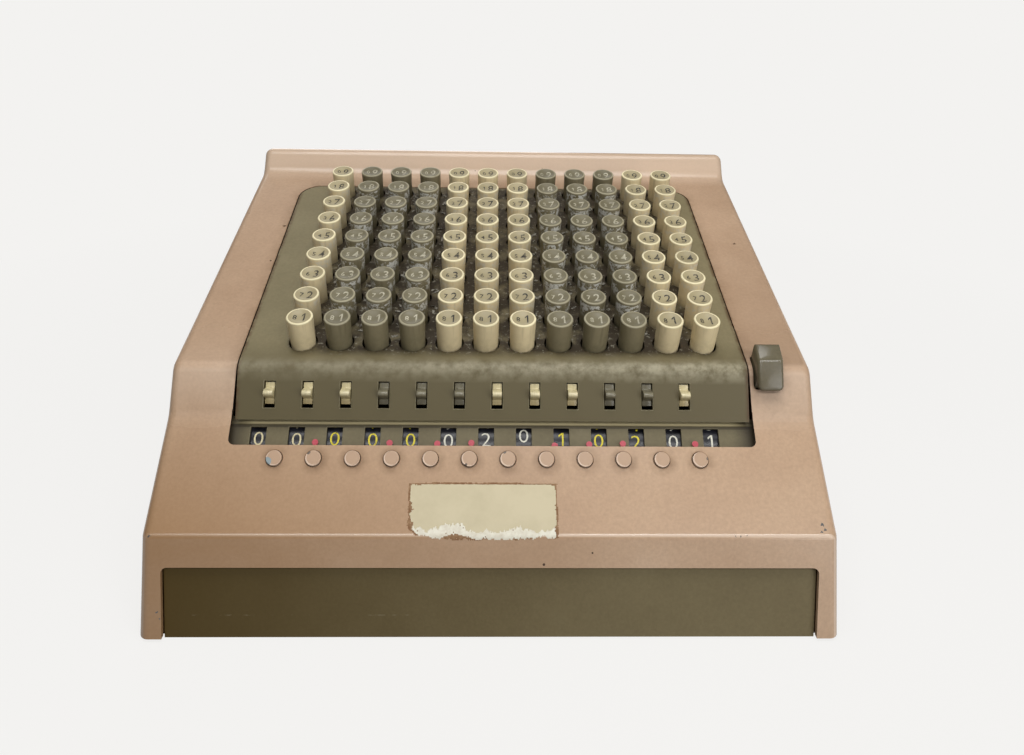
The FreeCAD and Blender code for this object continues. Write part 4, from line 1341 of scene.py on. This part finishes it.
@dataclass
class Keyboard:
    """Panel, keys and their printed figures, and the lint between them; sizes in millimetres.

    A figure is printed at a height, a place on the cap and a stroke growth. A rim is its opening's width and
    height, its own width, its sink and its corners' radius.
    """

    figure: tuple[float, float, float] = (6.3, 1.8, 0.02)
    complement: tuple[float, float, float] = (3.6, -2.5, 0.05)
    figure_drop: float = -0.1
    figure_start: float = 0.6
    narrow: float = 0.86
    cell: float = 1.5
    ink: float = 0.05
    dark_columns: tuple[int, ...] = (1, 2, 3, 7, 8, 9)
    slot_rim: tuple[float, ...] = (5.6, 13.3, 0.4, 0.4, 0.5)
    rim_lift: float = 0.12
    tufts: int = 150
    tuft_size: tuple[float, float] = (3.4, 0.9)
    tuft_rag: float = 0.7
    tuft_lift: float = 0.5
    tuft_stray: float = 1.2
    tuft_lean: float = 0.9
    dusty_columns: tuple[float, ...] = (0.5, 1.5, 2.5, 3.5, 6.5, 7.5, 8.5, 9.5)
    dusty_rows: tuple[float, float] = (0.2, 8.2)

    def build(self) -> None:
        """Dresses the keyboard and adds its figures, slot rims and lint."""
        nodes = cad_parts
        # Olive grey enamel: matte, pale on the crest with scuffs and a painted highlight, browner towards the
        # front as painted shade, and black among the keys with grime and painted shade.
        panel = PanelEnamel("panel_enamel", "#7E7457", roughness=0.44, gloss=0.3, shade="#70664A",
                            bloom="#897F62", blotch=30.0)
        dress(nodes["keyboard_panel"], panel.make())
        # Old phenolic caps: cream yellowed by light and olive grey, semi-gloss; rims pale with polish and a
        # painted highlight, tops darker than the sides with grime and painted shade.
        keys = KeyPlastic("key_plastic", "#E7D6AD", roughness=0.38, gloss=0.35).make()
        # Black ink on cream and white ink on grey, both rubbed thin by fingers.
        black = WornInk("black_ink", "#2E2A23", roughness=0.6, ground="#A39776", thin=Ramp(0.48, 0.8, 0.9))
        white = WornInk("white_ink", "#BEB8A2", roughness=0.6, ground="#706952")
        inks = {Tone.CREAM: black.make(), Tone.DARK: white.make()}
        for row in range(PLAN.rows):
            node = nodes[f"key_row_{row + 1}"]
            dress(node, keys)
            self.figures(row, node, inks)
        self.slot_rims()
        self.lint()

    def figures(self, row: int, node: Object, inks: dict[Tone, Material]) -> None:
        """Prints a row's figure and its complement on every cap.

        Args:
            row: Row from the front, from 0.
            node: The row's solid.
            inks: Ink for each plastic.
        """
        parts = []
        for number, (height, x, weight) in ((row + 1, self.figure), (PLAN.rows - row - 1, self.complement)):
            piece = figure(str(number), height, self.narrow, weight, self.cell)
            piece.matrix_world = PLAN.key(row, self.figure_start) @ moved(x, self.figure_drop)
            laid_on(piece, node, self.ink)
            parts.append(piece)
        first = joined(parts, f"figures_{row + 1}")
        copies = []
        for column in range(PLAN.columns):
            twin = copied(first, moved(column * PLAN.pitch))
            dress(twin, inks[Tone.DARK if column in self.dark_columns else Tone.CREAM])
            copies.append(twin)
        bpy.data.objects.remove(first)
        whole = joined(copies, f"figures_row_{row + 1}")
        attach(whole, f"key_row_{row + 1}")

    def slot_rims(self) -> None:
        """Adds the pressed rims of the lever slots."""
        places = [PLAN.slot(i) @ moved(z=self.rim_lift) for i in range(PLAN.columns)]
        whole = repeated(bezel(*self.slot_rim), places, "slot_rims")
        # The panel's enamel worn thin on the slots' pressed edges, a little shinier, and paler also as a
        # painted highlight.
        enamel = Enamel("slot_rim_enamel", "#968F74", roughness=0.35, shade="#827B62", bloom="#AAA387")
        dress(whole, enamel.make())
        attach(whole, ROOT)

    def lint(self) -> None:
        """Scatters tufts of lint on the panel between the keys, most of it among the dark columns."""
        deselect()
        bpy.ops.mesh.primitive_grid_add(x_subdivisions=5, y_subdivisions=2, size=1)
        tuft = bpy.context.object
        tuft.scale = (self.tuft_size[0] * MM, self.tuft_size[1] * MM, 1)
        edit(settle(tuft))
        bpy.ops.transform.vertex_random(offset=self.tuft_rag * MM, seed=5)
        bpy.ops.object.mode_set(mode="OBJECT")
        dice = random.Random(4)
        places = []
        for _ in range(self.tufts):
            column = dice.choice((*self.dusty_columns, dice.randrange(0, 11) + 0.5))
            row = dice.uniform(*self.dusty_rows)
            stray = dice.uniform(-self.tuft_stray, self.tuft_stray)
            spot = moved(column * PLAN.pitch + stray, row * PLAN.pitch)
            turn = Matrix.Rotation(dice.uniform(0, math.tau), 4, "Z")
            lean = Matrix.Rotation(dice.uniform(-self.tuft_lean, self.tuft_lean), 4, "X")
            size = Matrix.Diagonal((dice.uniform(0.6, 1.3), dice.uniform(0.6, 1.4), 1, 1))
            places.append(PLAN.key(0, self.tuft_lift - PLAN.key_stand) @ spot @ turn @ lean @ size)
        whole = repeated(tuft, places, "lint")
        smooth(whole, 60)
        # Grey felted dust: matte, no shine.
        dress(whole, Moulded("lint", "#9A968A", roughness=0.95, dust="#5E5646", share=0.9).make())
        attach(whole, ROOT)


class Numeral(Enum):
    """The three inks that the wheels' figures are printed in."""

    CREAM = "#D8CCA2"
    YELLOW = "#DCCB2E"
    WHITE = "#DAD8C8"


@dataclass
class Register:
    """Numeral wheels behind the register plate, and the decimal markers before it; sizes in millimetres.

    Each wheel has the digit that it shows, how far that has drifted up in its window, and an ink.
    """

    shown: tuple[int, ...] = (0, 0, 0, 0, 0, 0, 2, 0, 1, 0, 2, 0, 1)
    drift: tuple[float, ...] = (0.0, -0.5, 0.0, -0.5, -0.5, -0.8, -0.1, 2.0, 0.3, -0.5, -1.1, -0.9, -0.5)
    inks: tuple[Numeral, ...] = ((Numeral.CREAM,) * 2 + (Numeral.YELLOW,) * 3 + (Numeral.WHITE,) * 3
                                 + (Numeral.YELLOW,) * 3 + (Numeral.WHITE,) * 2)
    window_rim: tuple[float, ...] = (8.0, 11.0, 0.35, 0.4, 0.7)
    rim_lift: float = 0.1
    height: float = 7.4
    narrow: float = 1.12
    weight: float = -0.09
    cell: float = 1.2
    ink: float = 0.06
    figure_start: float = 0.8
    digit_turn: float = 36.0

    def build(self) -> None:
        """Dresses the register and adds the numerals and window rims."""
        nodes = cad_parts
        # The panel's olive grey again, with painted shade at both ends and along the fold, and painted light
        # on the ledge.
        plate = RegisterEnamel("register_enamel", "#6C6349", roughness=0.45, gloss=0.3, shade="#5B523B",
                               bloom="#756C53", blotch=25.0)
        dress(nodes["register_plate"], plate.make())
        # Black drums: satin, with a little grey dust.
        drum = Moulded("wheel_black", "#121217", roughness=0.3, dust="#3A3A44", share=0.5).make()
        # Pink enamelled knobs, like the casing but cleaner; steel arms; red dots.
        marker = MarkerEnamel("marker_enamel", "#B4977D", roughness=0.28).make()
        for i in range(PLAN.columns + 1):
            dress(nodes[f"numeral_wheel_{i + 1}"], drum)
        for i in range(PLAN.columns):
            dress(nodes[f"decimal_marker_{i + 1}"], marker)
        self.numerals()
        self.window_rims()

    def numerals(self) -> None:
        """Prints the figures on every wheel, turned so that the shown one stands in its window."""
        # Printed figures in cream, yellow and white: flat, slightly worn.
        materials = {ink: WornInk(f"{ink.name.lower()}_numerals", ink.value, roughness=0.5, ground="#4A4634",
                                  thin=Ramp(0.55, 0.85, 0.9)).make() for ink in Numeral}
        ring = self.ring()
        axis = moved(0, PLAN.wheel_y, PLAN.wheel_z)
        for i, (digit, drift, ink) in enumerate(zip(self.shown, self.drift, self.inks)):
            turn = -math.radians(self.digit_turn) * digit - drift / PLAN.wheel_radius
            turned = axis @ Matrix.Rotation(turn, 4, "X") @ axis.inverted()
            twin = copied(ring, moved(i * PLAN.pitch) @ turned)
            twin.name = f"numerals_{i + 1}"
            dress(twin, materials[ink])
            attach(twin, f"numeral_wheel_{i + 1}")
        bpy.data.objects.remove(ring)

    def ring(self) -> Object:
        """Prints the ten figures round the first wheel, nought in the window.

        Returns:
            The ring of figures.
        """
        made = []
        reach = PLAN.wheel_radius + self.figure_start
        for digit in range(10):
            angle = PLAN.plate_slope + self.digit_turn * digit
            way = math.radians(angle + 90)
            piece = figure(str(digit), self.height, self.narrow, self.weight, self.cell)
            piece.matrix_world = slope(PLAN.first_wheel, PLAN.wheel_y + reach * math.cos(way),
                                       PLAN.wheel_z + reach * math.sin(way), angle)
            laid_on(piece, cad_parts["numeral_wheel_1"], self.ink)
            made.append(piece)
        return joined(made, "numeral_ring")

    def window_rims(self) -> None:
        """Adds the pressed rims of the numeral windows."""
        places = [PLAN.window(i) @ moved(z=self.rim_lift) for i in range(PLAN.columns + 1)]
        whole = repeated(bezel(*self.window_rim), places, "window_rims")
        # Punched edges where the enamel has worn to a paler grey, paler also as a painted highlight.
        enamel = Enamel("window_rim_enamel", "#8D866C", roughness=0.35, shade="#7A735B", bloom="#A29B80")
        dress(whole, enamel.make())
        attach(whole, ROOT)


@dataclass
class Levers:
    """Cut-off levers: a tab that swells into a rounded ridge, on an arm and a hub; sizes in millimetres."""

    width: float = 4.8
    tab_low: float = -4.85
    tab_high: float = 6.15
    tab_top: float = -0.9
    tab_foot: float = -4.0
    ridge_middle: float = 0.65
    ridge_reach: float = 2.5
    ridge_rise: float = 5.4
    ridge_round: float = 0.7
    cuts: int = 24
    arm: float = 5.0
    rod_depth: float = 18.0
    rod_gap: float = 2.8
    hub_radius: float = 3.5
    hub_wall: float = 0.9
    dark: tuple[int, ...] = (3, 4, 5, 9, 10)

    def build(self) -> None:
        """Puts a lever in every slot."""
        lever = self.lever()
        # The same two plastics as the keys: cream and olive grey, ridges pale with polish and a painted
        # highlight.
        cream = LeverPlastic("lever_cream", "#C6B98F", roughness=0.28)
        grey = LeverPlastic("lever_dark", "#6A6450", roughness=0.28, brown="#4A4330", pale="#8B8570")
        tones = {Tone.CREAM: cream.make(), Tone.DARK: grey.make()}
        for i in range(PLAN.columns):
            twin = copied(lever, PLAN.slot(i))
            twin.name = f"lever_{i + 1}"
            dress(twin, tones[Tone.DARK if i in self.dark else Tone.CREAM])
            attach(twin, f"cutoff_lever_{i + 1}")
            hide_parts(f"cutoff_lever_{i + 1}")
        bpy.data.objects.remove(lever)

    def swell(self, y: float) -> float:
        """Height of the ridge over the tab, at a place up the step, in millimetres."""
        share = max(0.0, 1.0 - ((y - self.ridge_middle) / self.ridge_reach) ** 2)
        return self.ridge_rise * share ** self.ridge_round

    def lever(self) -> Object:
        """Shapes one lever about its slot's middle, Y up the step and Z off it.

        Returns:
            The lever.
        """
        length = self.tab_high - self.tab_low
        tab = block((self.width, length, self.tab_top - self.tab_foot),
                    (0, self.tab_low + length / 2, (self.tab_top + self.tab_foot) / 2))
        places = [self.tab_low + length * step / self.cuts for step in range(1, self.cuts)]
        edit(tab)
        for y in places:
            cut((0, y * MM, 0), (0, 1, 0))
        for y in places:
            if self.swell(y) > 0:
                line = Vector((0, y, self.tab_top)) * MM
                pick(tab, Picked.EDGES, lambda mid, way: abs(way.x) > 0.9 and (mid - line).length < 2e-6)
                bpy.ops.transform.translate(value=(0, 0, self.swell(y) * MM))
        bpy.ops.object.mode_set(mode="OBJECT")
        chamfer(tab, 0.3, 2, 60)
        end = self.rod_gap - self.rod_depth
        arm = block((self.width, self.arm, self.tab_foot - end), (0, 0, (self.tab_foot + end) / 2))
        chamfer(arm, 0.2)
        hub = sleeve(self.hub_radius, self.hub_wall, self.width, (0, 0, -self.rod_depth))
        whole = joined([tab, arm, hub], "lever")
        smooth(whole, 40)
        return whole


@dataclass
class ClearKey:
    """Clear key: a rounded block whose front follows the step and ends in a lip, on an arm to its shaft.

    Sizes are in millimetres and places are up the deck and off it.
    """

    x: float = 139.7
    width: float = 13.0
    height: float = 22.0
    end: tuple[float, float] = (-30.48, -21.15)
    front_top: tuple[float, float] = (-19.26, -9.32)
    back: float = -9.85
    web: float = -24.07
    foot: float = -25.0
    lip: float = 2.2
    lip_draw: float = 14.0
    tilt: float = 14.0
    corner: float = 2.8
    edge: float = 1.7
    arm: float = 5.0
    arm_shift: float = -2.0
    arm_middle: float = -23.6
    axis: tuple[float, float] = (9.525, -27.0)
    hub: tuple[float, float, float] = (5.0, 2.4, 10.0)

    def build(self) -> None:
        """Shapes the key and puts it on its body."""
        key = self.shaped()
        middle = (self.axis[0] + self.back) / 2 + self.arm_shift
        arm = block((self.arm, self.axis[0] - self.back, self.arm), (0, middle, self.arm_middle))
        hub = sleeve(*self.hub, (0, *self.axis))
        whole = joined([key, arm, hub], "clear_key_block")
        whole.data.transform(slope(self.x, PLAN.row_one_y, PLAN.row_one_z, PLAN.deck_slope))
        smooth(whole, 40)
        # Grey olive gloss enamel, a little uneven.
        enamel = Enamel("clear_key_enamel", "#645D4A", roughness=0.2, shade="#574F3E", bloom="#706954",
                        blotch=12.0)
        dress(whole, enamel.make())
        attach(whole, "clear_key")
        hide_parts("clear_key")

    def shaped(self) -> Object:
        """Cuts the block to its front and top, draws out the lip and rounds the edges.

        Returns:
            The block, in the deck's frame.
        """
        down = Matrix.Rotation(math.radians(PLAN.step_slope - PLAN.deck_slope), 3, "X") @ Vector((0, -1, 0))
        off = Vector((0, down.z, -down.y))
        rise = Matrix.Rotation(math.radians(self.tilt), 3, "X") @ Vector((0, 0, 1))
        end, ridge = Vector((0, *self.end)) * MM, Vector((0, *self.front_top)) * MM
        key = block((self.width, self.back - self.web, self.height),
                    (0, (self.back + self.web) / 2, self.foot + self.height / 2))
        edit(key)
        for way in (off, rise):
            cut(ridge, way, clear_outer=True, use_fill=True)
        under = end - off * self.lip * MM
        cut(under, off)
        pick(key, Picked.FACES, lambda mid, normal: normal.y < -0.95 and (mid - under).dot(off) > 0)
        bpy.ops.mesh.extrude_region_move(TRANSFORM_OT_translate={"value": down * self.lip_draw * MM})
        cut(end, down, clear_outer=True, use_fill=True)
        bpy.ops.mesh.select_all(action="SELECT")
        bpy.ops.mesh.dissolve_limited(angle_limit=math.radians(1))
        bpy.ops.mesh.normals_make_consistent(inside=False)
        pick(key, Picked.EDGES,
             lambda mid, way: abs((mid - end).dot(down)) < 1e-5 and abs(way.dot(off)) > 0.95)
        bpy.ops.mesh.bevel(offset=self.corner * MM, segments=5, affect="EDGES")
        pick(key, Picked.EDGES, lambda mid, way: min(abs((mid - ridge).dot(n)) for n in (off, rise)) < 1e-5)
        bpy.ops.mesh.bevel(offset=self.edge * MM, segments=4, affect="EDGES")
        bpy.ops.object.mode_set(mode="OBJECT")
        return key


@dataclass
class Chassis:
    """What stands inside the casing and under it."""

    bright: tuple[str, ...] = ("side_frames", "cross_shafts", "key_guide_plate", "column_levers")
    sprung: tuple[str, ...] = ("key_return_springs", "clear_key_spring")

    def build(self) -> None:
        """Dresses the base, the feet and the steel parts."""
        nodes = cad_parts
        # Mill-finish steel with brown spots of old oil.
        steel = Steel("mill_steel", "#8C8A84", roughness=0.42, metallic=1.0).make()
        for name in self.bright:
            dress(nodes[name], steel)
        # Drawn spring wire: darker and shinier.
        wire = Steel("spring_wire", "#75736E", roughness=0.3, metallic=1.0).make()
        for name in self.sprung:
            dress(nodes[name], wire)
        # Zinc-plated screws.
        dress(nodes["fasteners"], Steel("zinc_screws", "#9A9890", roughness=0.36, metallic=1.0).make())
        # Black matte enamel under the machine.
        black = Enamel("base_enamel", "#2A2926", roughness=0.6, shade="#201F1C", bloom="#37352F")
        dress(nodes["base_plate"], black.make())
        # Black rubber, dusty grey in patches.
        dress(nodes["rubber_feet"], Moulded("foot_rubber", "#1B1A19", roughness=0.85, dust="#3C3833").make())


@dataclass(frozen=True)
class Lamp:
    """A soft box: where it hangs, what it faces, its width and height in metres, and its power in watts."""

    name: str
    place: tuple[float, float, float]
    aim: tuple[float, float, float]
    width: float
    height: float
    power: float

    def hang(self) -> None:
        """Adds the light."""
        data = bpy.data.lights.new(self.name, "AREA")
        data.energy = self.power
        data.shape = "RECTANGLE"
        data.size = self.width
        data.size_y = self.height
        item = bpy.data.objects.new(self.name, data)
        item.location = self.place
        item.rotation_euler = (Vector(self.aim) - Vector(self.place)).to_track_quat("-Z", "Y").to_euler()
        bpy.context.collection.objects.link(item)


@dataclass
class Studio:
    """Pale floor, soft light and the camera: its place in millimetres and its turn in degrees."""

    lens: float = 29.67
    shift: float = -0.1
    eye: tuple[float, float, float] = (-3.54, -455.13, 312.38)
    turn: tuple[float, float, float] = (68.0725, -1.1359, -1.2355)
    paper: str = "#F3F2F0"
    sky_way: tuple[float, float, float] = (0.15, 0.05, 0.9)
    sky: Ramp = Ramp(-0.2, 0.9, 0.1, 0.03)
    lamps: tuple[Lamp, ...] = (
        Lamp("ceiling", (0.0, -0.1, 1.2), (0.02, -0.02, 0.08), 0.8, 0.8, 9.0),
        Lamp("window", (0.7, -0.9, 0.3), (0.02, -0.02, 0.08), 0.6, 0.6, 4.0),
        Lamp("tube", (0.1, -0.8, 0.79), (0.0, -0.1, 0.06), 1.3, 0.08, 4.9),
        Lamp("back_wall", (-0.3, 1.4, 0.55), (0.0, 0.1, 0.08), 1.0, 1.0, 5.8))

    def build(self) -> None:
        """Sets up everything around the object."""
        self.camera()
        self.floor()
        self.world()
        for lamp in self.lamps:
            lamp.hang()
        bpy.context.scene.view_settings.view_transform = "Standard"

    def camera(self) -> None:
        """Puts the camera where the photograph was taken from."""
        data = bpy.data.cameras.new("camera")
        data.lens = self.lens
        data.shift_y = self.shift
        data.clip_start = 0.01
        item = bpy.data.objects.new("camera", data)
        item.location = Vector(self.eye) * MM
        item.rotation_euler = [math.radians(a) for a in self.turn]
        bpy.context.collection.objects.link(item)
        bpy.context.scene.camera = item

    def floor(self) -> None:
        """Adds the floor."""
        deselect()
        bpy.ops.mesh.primitive_plane_add(size=60)
        item = bpy.context.object
        item.name = "floor"
        # Pale paper, evenly lit.
        dress(item, PaperFloor("paper_floor", self.paper).make())

    def world(self) -> None:
        """Lights the scene softly from all round, more from above; the eye sees the paper's colour."""
        world = bpy.data.worlds.new("studio")
        bpy.context.scene.world = world
        world.use_nodes = True
        net = Net(world.node_tree)
        way = net.place.node.outputs["Generated"]
        side = net.add("VectorMath", {0: way, 1: self.sky_way}, operation="DOT_PRODUCT").outputs["Value"]
        path = net.add("LightPath").outputs
        seen = net.add("Math", {0: path["Is Camera Ray"], 1: path["Is Transmission Ray"]},
                       operation="MAXIMUM")
        level = net.strength((side, self.sky))
        strength = net.add("Mix", {"Factor": seen, "A": level, "B": 1.0}, data_type="FLOAT")
        colour = net.coats("#FFFFFF", (seen, self.paper))
        net.add("OutputWorld", {"Surface": net.add("Background", {"Color": colour, "Strength": strength})})


def main() -> None:
    """Builds the scene in order."""
    logging.basicConfig(level=logging.INFO, format="%(message)s")
    for part in (Casing(), Keyboard(), Register(), Levers(), ClearKey(), Chassis(), Studio()):
        part.build()
        LOG.info("built %s", type(part).__name__)


if __name__ == "__main__":
    main()
